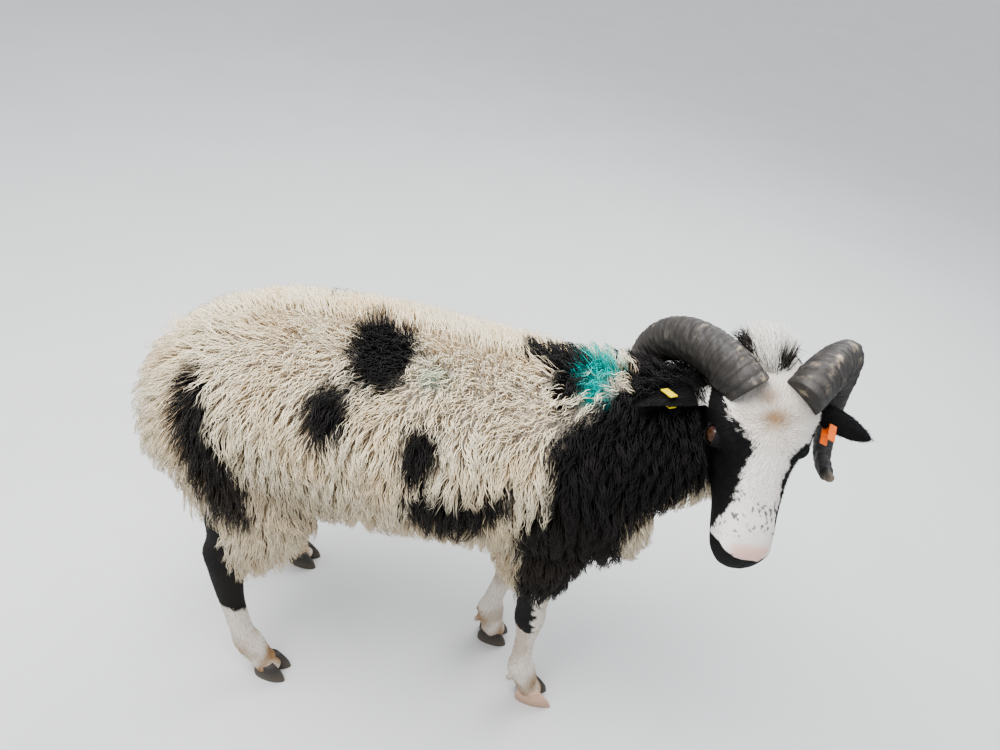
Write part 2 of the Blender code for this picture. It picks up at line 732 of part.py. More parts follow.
def nostril_cutter(side):
    made = ball("nostril", (0.0, 0.0, 0.0), NOSTRIL_SIZE, *NOSTRIL_NET)
    turn = Matrix.Rotation(math.radians(side * NOSTRIL_TURN), 4, "X")
    lean = Matrix.Rotation(math.radians(side * NOSTRIL_LEAN), 4, "Z")
    place = Matrix.Translation((NOSTRIL[0], side * NOSTRIL[1], NOSTRIL[2]))
    made.data.transform(place @ lean @ turn)
    return made


def horn(right, grow=0.0):
    made = horn_form(grow)
    return mirrored(made) if right else made


def ear(right, grow=0.0):
    made = ear_form(right, grow)
    return mirrored(made) if right else made


def tag(right, grow=0.0):
    made = tag_form(right, grow)
    return mirrored(made) if right else made


def placed(obj):
    obj.data.transform(head_frame())
    return obj


def head_outside(grow):
    """The head, its lids and its wool as one closed form, in the head's frame."""
    pieces = [topknot_form(grow)]
    for side in (-1, 1):
        middle = (EYE[0], side * EYE[1], EYE[2])
        pieces.append(face_turned(ball("lid", middle, [EYE_RADIUS + LID + grow] * 3, *EYE_NET)))
    return combine(face_turned(skull_form(grow)), "UNION", pieces, "MANIFOLD")


def build_head():
    head = head_outside(0.0)
    cutters = lid_cutters(GAP) + [mirrored(piece) for piece in lid_cutters(GAP)]
    cutters += [nostril_cutter(side) for side in (-1, 1)] + [mouth_cutter()]
    cutters = [face_turned(piece) for piece in cutters]
    cutters += [horn(right, GAP) for right in (False, True)]
    cutters += [ear(right, GAP) for right in (False, True)]
    combine(head, "DIFFERENCE", cutters, "MANIFOLD")
    return finish(placed(merged(keep_largest(head), CUT_MERGE)), "head", BLACK_HAIR)


def build_head_pieces():
    for right, side in ((False, "left"), (True, "right")):
        finish(placed(horn(right)), f"horn_{side}", GREY_HORN)
        lug = ear(right)
        combine(lug, "DIFFERENCE", [tag(right, GAP)])
        finish(placed(keep_largest(lug)), f"ear_{side}", BLACK_HAIR)
        finish(placed(tag(right)), f"ear_tag_{side}", YELLOW_TAG if right else ORANGE_TAG)
        sign = -1 if right else 1
        eyeball = ball("eye", (EYE[0], sign * EYE[1], EYE[2]), [EYE_RADIUS] * 3, *EYE_NET)
        finish(placed(face_turned(eyeball)), f"eye_{side}", BROWN_EYE)


def step_of(fore, right):
    """How far back of its table's place a foot stands."""
    if right:
        return 0.0
    return FORE_STEP if fore else HIND_STEP


def feet():
    """Name, middle and side of each foot."""
    for right, side in ((False, "left"), (True, "right")):
        for fore, name, (x, y) in ((True, "fore", FORE_FOOT), (False, "hind", HIND_FOOT)):
            yield f"{name}_{side}", (x - step_of(fore, right), y), right


def overgrown(name, outer):
    return name == "fore_right" and outer


def claw(name, foot, outer, right, grow=0.0):
    made = claw_form(foot, outer, CLAW_OVERGROWN if overgrown(name, outer) else 0.0, grow)
    return mirrored(made) if right else made


def build_claws():
    for name, foot, right in feet():
        for outer, place in ((True, "outer"), (False, "inner")):
            look = PALE_CLAW if overgrown(name, outer) else BLACK_CLAW
            finish(claw(name, foot, outer, right), f"claw_{name}_{place}", look)


def dewclaws(foot, right, swing):
    made = []
    back, apart, up = DEWCLAW_PLACE
    for side in (-1, 1):
        middle = (foot[0] + swing * up - back, foot[1] + side * apart, up)
        nub = ball("dewclaw", middle, DEWCLAW, *DEWCLAW_NET)
        made.append(mirrored(nub) if right else nub)
    return made


def limbs():
    """Each leg without its wool, with its dewclaws."""
    made = []
    for name, foot, right in feet():
        fore = name.startswith("fore")
        table = FORE_LEG if fore else HIND_LEG
        leg = upright_form("leg", table, LEG_STEPS, LEG_SIDES, 0.0, step_of(fore, right))
        made.append(mirrored(leg) if right else leg)
        made += dewclaws(foot, right, step_of(fore, right) / table[0][0])
    return made


def leg_wool():
    """The core of the fleece on each leg, and the size of its clumps."""
    for name, _, right in feet():
        fore = name.startswith("fore")
        table, size = (FORE_WOOL, SMALL) if fore else (HIND_WOOL, MIDDLE)
        wool = upright_form("wool", table, WOOL_STEPS, WOOL_SIDES, size[1], step_of(fore, right))
        yield mirrored(wool) if right else wool, size


def surface(obj):
    mesh = obj.data
    return BVHTree.FromPolygons([v.co for v in mesh.vertices], [p.vertices for p in mesh.polygons])


def spots(obj, density, chance):
    """Random places spread evenly over an object's surface."""
    corners = np.array([v.co for v in obj.data.vertices])
    corners = corners[np.array([p.vertices for p in obj.data.polygons])]
    sides = corners[:, 1:] - corners[:, :1]
    area = np.linalg.norm(np.cross(sides[:, 0], sides[:, 1]), axis=1) / 2
    chosen = chance.choice(len(area), int(density * area.sum()), p=area / area.sum())
    share = np.sort(chance.random((len(chosen), 2)), axis=1)
    weights = np.stack([share[:, 0], share[:, 1] - share[:, 0], 1 - share[:, 1]], axis=1)
    return (corners[chosen] * weights[:, :, None]).sum(axis=1)


def clump(point, normal, size, chance, grow):
    """A rounded tuft of wool whose root lies inside the core and whose tip is swept along the lie."""
    half, rise, _, sides = size
    half = half * (1 + CLUMP_SPREAD * chance.uniform(-1, 1)) + grow
    rise = rise * (1 - CLUMP_SPREAD * chance.random()) + grow
    lie = np.array(LIE) + CLUMP_STRAY * chance.normal(size=3)
    lie = unit(lie - lie.dot(normal) * normal)
    across = np.cross(normal, lie)
    angle = around(sides) + chance.uniform(0, 2 * math.pi)
    ring = np.outer(np.cos(angle) * CLUMP_LONG, lie) + np.outer(np.sin(angle), across)
    rings = [point - normal * (rise * CLUMP_ROOT) + ring * half * CLUMP_PROFILE[1][0]]
    for wide, high, swept in CLUMP_PROFILE:
        rings.append(point + normal * rise * high + lie * half * swept + ring * half * wide)
    return loft("clump", rings, point + normal * rise + lie * half * CLUMP_TIP)


def scattered(form, size, outside, clear, chance, taken, grow=0.0):
    """Clumps set close on a form, where it is the outside of the core and clear of other nodes."""
    apart = size[2]
    open_spots = []
    for spot in spots(form, TRIES / apart**2, chance):
        point, normal, _, distance = outside.find_nearest(spot)
        if distance < NEAR_CORE and all(node.find_nearest(spot)[3] > CLEAR for node in clear):
            open_spots.append((*point, *normal))
    bpy.data.objects.remove(form, do_unlink=True)
    open_spots = np.array(open_spots)
    places = open_spots[:, :3]
    room = np.full(len(places), FAR)
    for other in taken:
        room = np.minimum(room, np.linalg.norm(places - other, axis=1))
    made = []
    while room.max() > apart:
        widest = int(room.argmax())
        taken.append(places[widest])
        room = np.minimum(room, np.linalg.norm(places - places[widest], axis=1))
        made.append(clump(places[widest], open_spots[widest, 3:], size, chance, grow))
    return made


def fleece():
    """The woolly parts as one body: a smooth core with clumps standing on it."""
    forms = [(trunk_form(LARGE[1]), LARGE), (neck_form(MIDDLE[1]), MIDDLE), (tail_form(SMALL[1]), SMALL)]
    forms += leg_wool()
    core = copied(forms[0][0], "core")
    combine(core, "UNION", [copied(form, "wool") for form, _ in forms[1:]], "MANIFOLD")
    outside = surface(core)
    clear = []
    for node in [placed(head_outside(0.0)), placed(ear(True)), placed(ear(False))]:
        clear.append(surface(node))
        bpy.data.objects.remove(node, do_unlink=True)
    chance = np.random.default_rng(SEED)
    taken, clumps = [], []
    for form, size in forms:
        clumps += scattered(form, size, outside, clear, chance, taken)
    combine(core, "UNION", clumps, "MANIFOLD")
    return merged(keep_largest(core), FLEECE_MERGE)


def neck_region(grow):
    """All that lies in front of the cut between trunk and neck."""
    turn = Matrix.Rotation(math.radians(-NECK_CUT_TILT), 4, "Y")
    frame = Matrix.Translation(NECK_CUT) @ turn
    return box("neck cut", (-grow, -FAR, -FAR), (FAR, FAR, FAR), frame)


def leg_region(fore, right, grow):
    back, front, top = FORE_CUT if fore else HIND_CUT
    low = (back - grow, GAP / 2 - grow, -FAR)
    made = box("leg cut", low, (front + grow, FAR, top + grow))
    return mirrored(made) if right else made


def tail_region(grow):
    front, half, top = TAIL_CUT
    low = (-FAR, -half - grow, 0.0)
    return box("tail cut", low, (front + grow, half + grow, top + grow))


def build_body():
    """The trunk, neck, tail and legs, made whole and then parted with thin cuts."""
    whole = fleece()
    combine(whole, "UNION", limbs(), "MANIFOLD")
    keep_largest(whole)
    cutters = [placed(head_outside(GAP))]
    cutters += [placed(horn(right, GAP)) for right in (False, True)]
    cutters += [placed(ear(right, GAP)) for right in (False, True)]
    cutters += [placed(tag(right, GAP)) for right in (False, True)]
    for name, foot, right in feet():
        cutters += [claw(name, foot, outer, right, GAP) for outer in (False, True)]
    combine(whole, "DIFFERENCE", cutters, "MANIFOLD")
    regions = {"neck": neck_region, "tail": tail_region}
    for name, _, right in feet():
        fore = name.startswith("fore")
        regions[f"leg_{name}"] = lambda grow, fore=fore, right=right: leg_region(fore, right, grow)
    for name, region in regions.items():
        node = combine(copied(whole, name), "INTERSECT", [region(0.0)], "MANIFOLD")
        finish(merged(keep_largest(node), CUT_MERGE), name, BLACK_WOOL if name == "neck" else WHITE_WOOL)
    combine(whole, "DIFFERENCE", [region(GAP) for region in regions.values()], "MANIFOLD")
    finish(merged(keep_largest(whole), CUT_MERGE), "torso", WHITE_WOOL)


def main():
    clear()
    build_body()
    build_head()
    build_head_pieces()
    build_claws()


if __name__ == "__main__":
    main()
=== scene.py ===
"""Looks of the Jacob sheep: skin, fleece, hair, eyes, horns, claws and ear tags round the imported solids.

The forms are measured in the animal's own frame, as in the solids, and are moved by ORIGIN into the
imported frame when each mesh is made. The head has a frame of its own: forward, left and up from the
poll. Sizes are in metres and angles in degrees.
"""

import json
import math
from collections import namedtuple

import bmesh
import bpy
import numpy as np
from bpy.props import FloatProperty, FloatVectorProperty, IntProperty, PointerProperty
from mathutils import Matrix, Vector
from mathutils.bvhtree import BVHTree
from mathutils.kdtree import KDTree

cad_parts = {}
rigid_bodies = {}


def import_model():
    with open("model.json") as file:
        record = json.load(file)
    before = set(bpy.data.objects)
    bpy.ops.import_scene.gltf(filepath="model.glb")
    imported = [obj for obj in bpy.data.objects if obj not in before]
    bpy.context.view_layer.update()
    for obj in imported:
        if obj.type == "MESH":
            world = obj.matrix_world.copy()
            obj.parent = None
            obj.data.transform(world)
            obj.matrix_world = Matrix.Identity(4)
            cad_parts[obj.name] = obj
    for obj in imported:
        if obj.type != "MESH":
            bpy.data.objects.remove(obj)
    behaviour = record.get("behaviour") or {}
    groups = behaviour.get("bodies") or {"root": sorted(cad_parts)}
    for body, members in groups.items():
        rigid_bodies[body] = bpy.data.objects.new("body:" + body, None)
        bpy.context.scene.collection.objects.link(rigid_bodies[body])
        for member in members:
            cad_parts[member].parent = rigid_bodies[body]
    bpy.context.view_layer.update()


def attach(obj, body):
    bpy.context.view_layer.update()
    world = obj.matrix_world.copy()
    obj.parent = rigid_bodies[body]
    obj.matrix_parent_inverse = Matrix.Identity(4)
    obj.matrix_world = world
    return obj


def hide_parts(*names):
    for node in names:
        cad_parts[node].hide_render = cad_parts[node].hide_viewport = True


bl_info = {
    "name": "Jacob Sheep",
    "version": (1, 0, 0),
    "blender": (4, 5, 0),
    "location": "View3D > Sidebar > Sheep",
    "description": "Builds the skin, fleece, horns and finish of a standing Jacob sheep",
    "category": "Add Mesh",
}

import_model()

ORIGIN = (0.0746, 0.0, 0.0)
SEED = 11

# Trunk: place along X, height of the back, height of the belly, half width
TRUNK = (
    (-0.388, 0.485, 0.430, 0.030),
    (-0.374, 0.540, 0.385, 0.078),
    (-0.335, 0.592, 0.355, 0.118),
    (-0.280, 0.630, 0.340, 0.141),
    (-0.200, 0.656, 0.338, 0.151),
    (-0.060, 0.668, 0.346, 0.152),
    (0.070, 0.664, 0.355, 0.147),
    (0.150, 0.665, 0.353, 0.140),
    (0.220, 0.660, 0.345, 0.128),
    (0.280, 0.622, 0.358, 0.106),
    (0.318, 0.572, 0.405, 0.072),
    (0.330, 0.530, 0.450, 0.030),
)
# Neck: share of its length, middle X, Y and Z, half width across and half depth
NECK = (
    (0.00, 0.130, 0.000, 0.520, 0.120, 0.138),
    (0.30, 0.222, 0.004, 0.545, 0.118, 0.136),
    (0.60, 0.300, 0.016, 0.572, 0.104, 0.114),
    (0.85, 0.362, 0.038, 0.592, 0.088, 0.112),
    (1.00, 0.396, 0.046, 0.619, 0.066, 0.096),
)
NECK_PINCH = 0.42

POLL = (0.402, -0.018, 0.706)
HEAD_YAW = 82.5
HEAD_PITCH = 50.0
HEAD_ROLL = -3.0
# Roll of the face about its bridge, and how far along the head it is fully rolled
FACE_TURN = 10.0
FACE_PIVOT = -0.012
FACE_TURNED = 0.060
# Along the head: place, height of face and jaw, of the widest level, half width, squareness
SKULL = (
    (-0.052, -0.046, -0.072, -0.058, 0.014, 1.00, 1.00),
    (-0.044, -0.024, -0.096, -0.056, 0.034, 0.95, 1.00),
    (-0.020, -0.004, -0.118, -0.050, 0.052, 0.90, 1.00),
    (0.010, 0.006, -0.128, -0.040, 0.065, 0.82, 1.00),
    (0.035, 0.010, -0.130, -0.028, 0.068, 0.80, 1.00),
    (0.062, 0.010, -0.126, -0.030, 0.059, 0.82, 1.05),
    (0.090, 0.008, -0.121, -0.036, 0.046, 0.84, 1.05),
    (0.120, 0.004, -0.109, -0.038, 0.038, 0.86, 1.05),
    (0.150, -0.001, -0.095, -0.038, 0.035, 0.86, 1.00),
    (0.178, -0.006, -0.084, -0.040, 0.036, 0.86, 0.98),
    (0.198, -0.012, -0.075, -0.042, 0.035, 0.88, 0.95),
    (0.212, -0.021, -0.067, -0.044, 0.029, 0.92, 0.95),
    (0.222, -0.033, -0.062, -0.048, 0.020, 0.95, 0.95),
    (0.227, -0.042, -0.056, -0.049, 0.008, 1.00, 1.00),
)
# Bumps and hollows on both sides of the head: middle, half sizes, height
HEAD_HILLS = (
    ((0.068, 0.050, -0.014), (0.020, 0.022, 0.017), 0.0050),
    ((0.096, 0.040, -0.030), (0.020, 0.020, 0.012), -0.0022),
    ((0.060, 0.048, -0.078), (0.035, 0.022, 0.026), 0.0040),
    ((0.200, 0.022, -0.028), (0.012, 0.012, 0.009), 0.0026),
    ((0.206, 0.026, -0.043), (0.014, 0.012, 0.010), 0.0020),
    ((0.200, 0.014, -0.070), (0.016, 0.016, 0.009), 0.0018),
    ((0.224, 0.000, -0.036), (0.012, 0.0024, 0.014), -0.0018),
    ((0.176, 0.031, -0.056), (0.007, 0.007, 0.005), -0.0014),
    ((0.130, 0.020, -0.010), (0.050, 0.009, 0.009), 0.0014),
    ((0.110, 0.032, -0.094), (0.045, 0.012, 0.012), 0.0016),
    ((0.088, 0.050, -0.044), (0.016, 0.012, 0.003), 0.0010),
    ((0.092, 0.048, -0.052), (0.018, 0.012, 0.003), -0.0008),
)

EYE = (0.069, 0.0530, -0.029)
EYE_RADIUS = 0.0135
LID = 0.0024
EYE_LENGTH = 0.0125
EYE_OPENING = 0.0080
EYE_SLANT = 20.0
OPENING_RISE = 0.35

HORN_TURN = 241.0
HORN_START = 0.1100
HORN_SHRINK = 0.2025
HORN_DRIFT = -0.0224
HORN_MIDDLE = (0.0242, 0.0600, -0.1110)
HORN_AXIS = (0.417, 0.878, 0.236)
HORN_FIRST = (-0.223, -0.153, 0.963)
HORN_BACK = -9.0
HORN_RIDGE = 0.12
# Share of the horn's length, half width across the curl, half thickness
HORN_SECTION = (
    (0.00, 0.0330, 0.0260),
    (0.25, 0.0260, 0.0220),
    (0.50, 0.0185, 0.0165),
    (0.75, 0.0135, 0.0120),
    (0.92, 0.0090, 0.0080),
    (1.00, 0.0040, 0.0035),
)

# Legs: height, place along X, distance from the middle, half length and half width
FORE_LEG = (
    (0.430, 0.180, 0.066, 0.048, 0.030),
    (0.345, 0.188, 0.060, 0.036, 0.028),
    (0.285, 0.194, 0.056, 0.0260, 0.0210),
    (0.245, 0.197, 0.054, 0.0225, 0.0210),
    (0.215, 0.199, 0.053, 0.0235, 0.0225),
    (0.190, 0.201, 0.052, 0.0195, 0.0190),
    (0.150, 0.203, 0.051, 0.0152, 0.0145),
    (0.105, 0.205, 0.050, 0.0158, 0.0150),
    (0.075, 0.210, 0.049, 0.0225, 0.0200),
    (0.055, 0.216, 0.048, 0.0225, 0.0200),
    (0.038, 0.224, 0.048, 0.0190, 0.0185),
    (0.022, 0.232, 0.048, 0.0210, 0.0205),
    (0.009, 0.235, 0.048, 0.0165, 0.0180),
)
HIND_LEG = (
    (0.470, -0.232, 0.078, 0.085, 0.045),
    (0.380, -0.235, 0.088, 0.066, 0.040),
    (0.330, -0.240, 0.096, 0.048, 0.032),
    (0.295, -0.248, 0.102, 0.0370, 0.0250),
    (0.262, -0.258, 0.107, 0.0330, 0.0210),
    (0.235, -0.257, 0.110, 0.0270, 0.0190),
    (0.190, -0.254, 0.112, 0.0215, 0.0165),
    (0.140, -0.246, 0.113, 0.0178, 0.0150),
    (0.100, -0.238, 0.114, 0.0178, 0.0150),
    (0.070, -0.228, 0.114, 0.0235, 0.0200),
    (0.050, -0.219, 0.114, 0.0225, 0.0195),
    (0.035, -0.208, 0.114, 0.0190, 0.0185),
    (0.022, -0.198, 0.114, 0.0210, 0.0205),
    (0.009, -0.194, 0.114, 0.0165, 0.0180),
)
FORE_STEP = 0.083
HIND_STEP = 0.030
FORE_WOOL = (
    (0.430, 0.180, 0.064, 0.085, 0.058),
    (0.360, 0.182, 0.062, 0.066, 0.050),
    (0.320, 0.187, 0.058, 0.051, 0.042),
    (0.302, 0.190, 0.056, 0.038, 0.033),
    (0.292, 0.192, 0.055, 0.024, 0.022),
)
HIND_WOOL = (
    (0.540, -0.226, 0.070, 0.128, 0.068),
    (0.430, -0.220, 0.080, 0.116, 0.072),
    (0.370, -0.212, 0.088, 0.094, 0.066),
    (0.320, -0.213, 0.096, 0.072, 0.056),
    (0.280, -0.230, 0.102, 0.050, 0.041),
    (0.262, -0.237, 0.105, 0.028, 0.024),
)
# Tail: height, place along X, distance from the middle, half depth and half width
TAIL = (
    (0.560, -0.350, 0.0, 0.022, 0.030),
    (0.520, -0.362, 0.0, 0.031, 0.040),
    (0.470, -0.369, 0.0, 0.030, 0.044),
    (0.415, -0.371, 0.0, 0.027, 0.040),
    (0.375, -0.369, 0.0, 0.020, 0.028),
    (0.360, -0.367, 0.0, 0.009, 0.012),
)
TOPKNOT = (-0.026, -0.010, -0.022)
TOPKNOT_SIZE = (0.030, 0.033, 0.026)

# Claws: height, heel and toe from the middle of the foot, half width
CLAW = (
    (0.0000, -0.0230, 0.0290, 0.0098),
    (0.0100, -0.0235, 0.0262, 0.0108),
    (0.0210, -0.0205, 0.0190, 0.0100),
    (0.0310, -0.0120, 0.0110, 0.0070),
)
CLAW_APART = 0.0112
CLAW_SPLAY = 5.0
CLAW_POINT = 0.35
CLAW_OVERGROWN = 0.010
FORE_FOOT = (0.236, 0.048)
HIND_FOOT = (-0.192, 0.114)
DEWCLAW = (0.0060, 0.0050, 0.0075)
DEWCLAW_PLACE = (0.0415, 0.0110, 0.0530)

EAR_ROOT = (0.017, 0.051, -0.044)
EAR_TIP_LEFT = (0.048, 0.147, -0.054)
EAR_TIP_RIGHT = (0.050, 0.162, -0.004)
EAR_FACES = (0.45, 0.05, -0.89)
EAR_ROLL_RIGHT = 58.0
EAR_RIM = 0.3
# Share of the ear's length, half width, thickness and depth of the cup
EAR = (
    (0.00, 0.0110, 0.0120, 0.0020),
    (0.16, 0.0150, 0.0070, 0.0070),
    (0.40, 0.0215, 0.0042, 0.0095),
    (0.65, 0.0200, 0.0034, 0.0075),
    (0.86, 0.0125, 0.0028, 0.0040),
    (1.00, 0.0030, 0.0020, 0.0006),
)
# Ear tags: share of the ear's length and offset across it of the pin, and how far the plates hang
TAG_RIGHT = (0.64, 0.004, 0.000)
TAG_LEFT = (0.38, 0.018, 0.009)
TAG_SIZE = (0.010, 0.022, 0.0022)
TAG_ROOM = 0.0060
TAG_PIN = 0.0022
TAG_DROP = 0.006

MOUTH_CORNER = (0.180, 0.0300, -0.0570)
MOUTH_FRONT = (0.2250, 0.0, -0.0510)
# The cut of the mouth: steps, half height, waviness, and how deep and how far out it reaches
MOUTH_STEPS = 44
MOUTH_HALF = 0.0008
MOUTH_WAVE = 0.0012
MOUTH_DEPTH = 0.004
MOUTH_BEYOND = 0.012
NOSTRIL = (0.2085, 0.0185, -0.0270)
NOSTRIL_SIZE = (0.0048, 0.0026, 0.0070)
NOSTRIL_TURN = 35.0
NOSTRIL_LEAN = -25.0

# How deep the fleece lies on trunk, neck and thighs, and on tail and forelegs
DEEP = 0.028
MIDDLING = 0.023
THIN = 0.014

# Parts of the skin
TRUNK_PART, NECK_PART, TAIL_PART, THIGH_PART, ELBOW_PART, LEG_PART, HEAD_PART, EAR_PART, KNOT_PART = range(9)
WOOLLY = (TRUNK_PART, NECK_PART, TAIL_PART, THIGH_PART, ELBOW_PART)

# Dark patches of the body: place along X and degrees round the trunk from the top, right is minus
DARK_PATCHES = (
    ((-0.108, -24), (-0.110, -8), (-0.098, 8), (-0.066, 10), (-0.038, 2), (-0.024, -14), (-0.027, -29),
     (-0.041, -40), (-0.063, -45), (-0.088, -41)),
    ((-0.140, -58), (-0.136, -48), (-0.112, -42), (-0.090, -46), (-0.084, -56), (-0.087, -68),
     (-0.107, -78), (-0.128, -71)),
    ((-0.012, -67), (-0.003, -56), (0.015, -52), (0.029, -58), (0.034, -69), (0.024, -82), (0.007, -89),
     (-0.006, -82)),
    ((0.002, -92), (0.030, -85), (0.062, -93), (0.095, -90), (0.124, -79), (0.130, -87), (0.105, -112),
     (0.061, -120), (0.020, -118), (0.003, -105)),
    ((0.098, 14), (0.120, 26), (0.150, 30), (0.185, 22), (0.186, -14), (0.178, -27), (0.161, -36),
     (0.147, -28), (0.143, -13), (0.126, 2), (0.106, 7)),
    ((0.168, -43), (0.193, -33), (0.218, -21), (0.235, -6), (0.235, 12), (0.205, 30), (0.180, 48),
     (0.150, 64), (0.158, 84), (0.150, 104), (0.130, 118), (0.150, 150), (0.160, 200), (0.90, 200),
     (0.90, -200), (0.165, -200), (0.162, -144), (0.154, -131), (0.142, -109), (0.156, -96),
     (0.172, -95), (0.178, -88), (0.172, -73), (0.162, -63)),
    ((-0.190, 38), (-0.150, 30), (-0.112, 44), (-0.118, 66), (-0.150, 78), (-0.186, 64)),
    ((-0.030, 66), (0.010, 58), (0.044, 74), (0.036, 98), (-0.004, 104), (-0.034, 88)),
)
SPRAY_PATCH = ((0.170, 26), (0.215, 22), (0.224, 0), (0.213, -18), (0.190, -25), (0.174, -8))
# A faint smudge of the same spray: place along X, degrees round the trunk, and its reach
SPRAY_SMUDGE = (0.004, -27, 0.020)
# Dark band down the rump: place along X and height, on the right, and narrower on the left
RUMP_BAND = (
    (-0.300, 0.590), (-0.284, 0.575), (-0.259, 0.560), (-0.250, 0.517), (-0.231, 0.491),
    (-0.209, 0.475), (-0.197, 0.420), (-0.191, 0.376), (-0.212, 0.366), (-0.245, 0.378),
    (-0.270, 0.412), (-0.286, 0.445), (-0.304, 0.477), (-0.316, 0.511), (-0.320, 0.551),
)
# White band under the throat: where it is, and a place and the way across its upper edge
THROAT = ((0.335, -0.030, 0.475), (0.085, 0.090, 0.085))
THROAT_EDGE = ((0.330, -0.044, 0.475), (0.7375, -0.570, -0.362))
# The blaze, in the head's frame: place along it and degrees round it, right is minus
BLAZE = (
    (-0.060, -50), (-0.060, 60), (0.000, 84), (0.020, 76), (0.047, 67), (0.062, 57), (0.075, 46),
    (0.087, 39), (0.101, 34), (0.115, 33), (0.134, 37), (0.160, 38), (0.172, 62), (0.185, 100),
    (0.240, 110), (0.240, -114), (0.186, -114), (0.179, -90), (0.174, -83), (0.168, -73), (0.158, -58),
    (0.147, -50), (0.127, -40), (0.115, -37), (0.099, -30), (0.084, -22), (0.071, -26), (0.060, -38),
    (0.046, -48), (0.036, -54), (0.024, -60), (0.000, -58),
)
# Edge of the dark lips: degrees round the head and place along it
LIP_EDGE = (
    (-180, 0.180), (-115, 0.185), (-83, 0.189), (-63, 0.194), (-53, 0.203), (-40, 0.2095), (-21, 0.2115),
    (23, 0.2115), (51, 0.2130), (63, 0.205), (90, 0.192), (180, 0.180),
)
# Long white hair at the ear, middle and half sizes in the head's frame
EAR_TUFT = ((0.020, -0.076, -0.030), (0.026, 0.011, 0.034))
# Dark patch among the white of the topknot
KNOT_SPOT = ((-0.042, 0.014, 0.010), (0.014, 0.020, 0.030))
WHORL = (0.052, 0.0, 0.010)

# Metres across the flat charts of trunk and head for each radian round them
TRUNK_SPREAD = 0.15
HEAD_SPREAD = 0.040
# The left rump band, moved and narrowed; softness of a patch's edge; the wool's hem, below which it isn't
# dark; and the heights over which a tint of soil and painted shade grows down the flanks
LEFT_BAND_SHIFT = (0.012, 0.0)
LEFT_BAND_NARROWED = 0.010
PATCH_EDGE = 0.004
HEM_HEIGHT = 0.372
SOIL_AND_SHADE_START = 0.62
SOIL_AND_SHADE_FULL = 0.38
# Heights between which the legs are dark; the left hind leg is dark above one height
RIGHT_KNEE = (0.200, 0.40)
LEFT_KNEE = (0.21, 0.26)
RIGHT_HOCK = (0.158, 0.366)
LEFT_HOCK = 0.50
# Soft spots, middle and size: rust on the right hock, in the animal's frame, and tan by the whorl
RUST_SPOT = ((-0.226, -0.128, 0.279), (0.017, 0.03, 0.012))
TAN_SPOT = ((0.036, -0.002, 0.010), (0.034, 0.036, 0.04))
NOSTRIL_SHADE = (0.0095, 0.0055, 0.0085)
# Which way the coat lies on each part that has one way, and on the tuft of the ear
LIES = {
    NECK_PART: (-0.30, 0.0, -0.95), TAIL_PART: (-0.05, 0.0, -1.0), LEG_PART: (-0.05, 0.0, -1.0),
    THIGH_PART: (0.10, 0.0, -1.0), ELBOW_PART: (0.10, 0.0, -1.0),
}
EAR_TUFT_LIE = (-0.60, -0.75, 0.25)

# Steps along and sides round each form
NETS = {
    "trunk": (88, 80), "neck": (60, 64), "tail": (40, 32), "wool": (36, 40), "leg": (84, 32),
    "dewclaw": (9, 14), "skull": (210, 144), "topknot": (24, 32), "eye": (30, 40), "ear": (44, 15),
    "nostril": (16, 24), "claw": (22, 40),
}
# Least half width of a ring under the tail's wool
TAIL_LEAST = 0.004
# Softening where forms are joined or cut: from which angle, how far around, and how often
JOIN_SOFTENED = (24, 3, 8)
CUT_SOFTENED = (40, 1, 2)
# The eye: the way it looks, how far its front swells, and half length and half height of the pupil
GAZE = (0.28, 1.0, 0.0)
CORNEA = 0.0012
PUPIL = (0.40, 0.16)
# The horn's surface: steps, sides, how many rings of growth and how far apart, and its roughness
HORN_STEPS, HORN_SIDES = 380, 44
HORN_RINGS = 60
HORN_RING_GAPS = (0.006, 0.011)
HORN_WAVE = 0.0013
HORN_WRINKLE = 0.00040
HORN_LINES = 2300
HORN_ROUGH = 0.0007
# Ear tags: width and steps of their rounded edges, and their colours
TAG_ROUNDING = (0.0007, 3)
TAG_YELLOW = (0.78, 0.62, 0.03)
TAG_ORANGE = (0.85, 0.17, 0.02)

# How near wool may come to what it may not cover, how far up it reaches, and where that matters
CLEAR = 0.0030
WOOL_REACH = 0.045
CLEAR_FROM = 0.15
KEPT_CLEAR = ("horn_", "ear_", "eye_")
# How deep a root goes, and the tube of a strand: sides, thickness as a share of width, and how full
# it stays towards the tip
ROOT_DEPTH = 0.0015
STRAND_SHAPE = (3, 0.80, 1.6)
MOST_TRIANGLES = 195000
# Where each part's unwrap lies on the map: lowest and highest corner
CHARTS = (
    (TRUNK_PART, (0.01, 0.01), (0.99, 0.50)),
    (NECK_PART, (0.01, 0.51), (0.99, 0.70)),
    (TAIL_PART, (0.01, 0.71), (0.24, 0.99)),
    (THIGH_PART, (0.25, 0.71), (0.60, 0.99)),
    (ELBOW_PART, (0.61, 0.71), (0.80, 0.99)),
    (LEG_PART, (0.01, 0.01), (0.99, 0.99)),
    (HEAD_PART, (0.01, 0.01), (0.80, 0.99)),
    (EAR_PART, (0.81, 0.01), (0.99, 0.60)),
    (KNOT_PART, (0.81, 0.61), (0.99, 0.99)),
)
UV_PATCH = 0.003

# Lamps: name, place, energy and size, and the place they face
LAMPS = (("key", (-0.7, -0.4, 2.6), 95.0, 1.8), ("rim", (0.9, 1.6, 2.0), 30.0, 1.4))
LAMPS_FACE = (0.0, 0.0, 0.35)
# The photograph's camera in the animal's own frame: place, its right, up and back, sensor and lens
CAMERA_PLACE = (0.1143, -0.7943, 1.22)
CAMERA_AXES = ((0.9748, 0.1605, 0.1553), (-0.2207, 0.5851, 0.7804), (0.0343, -0.7950, 0.6057))
CAMERA_LENS = (36.0, 28.08)


Roots = namedtuple("Roots", "places normals lies parts")
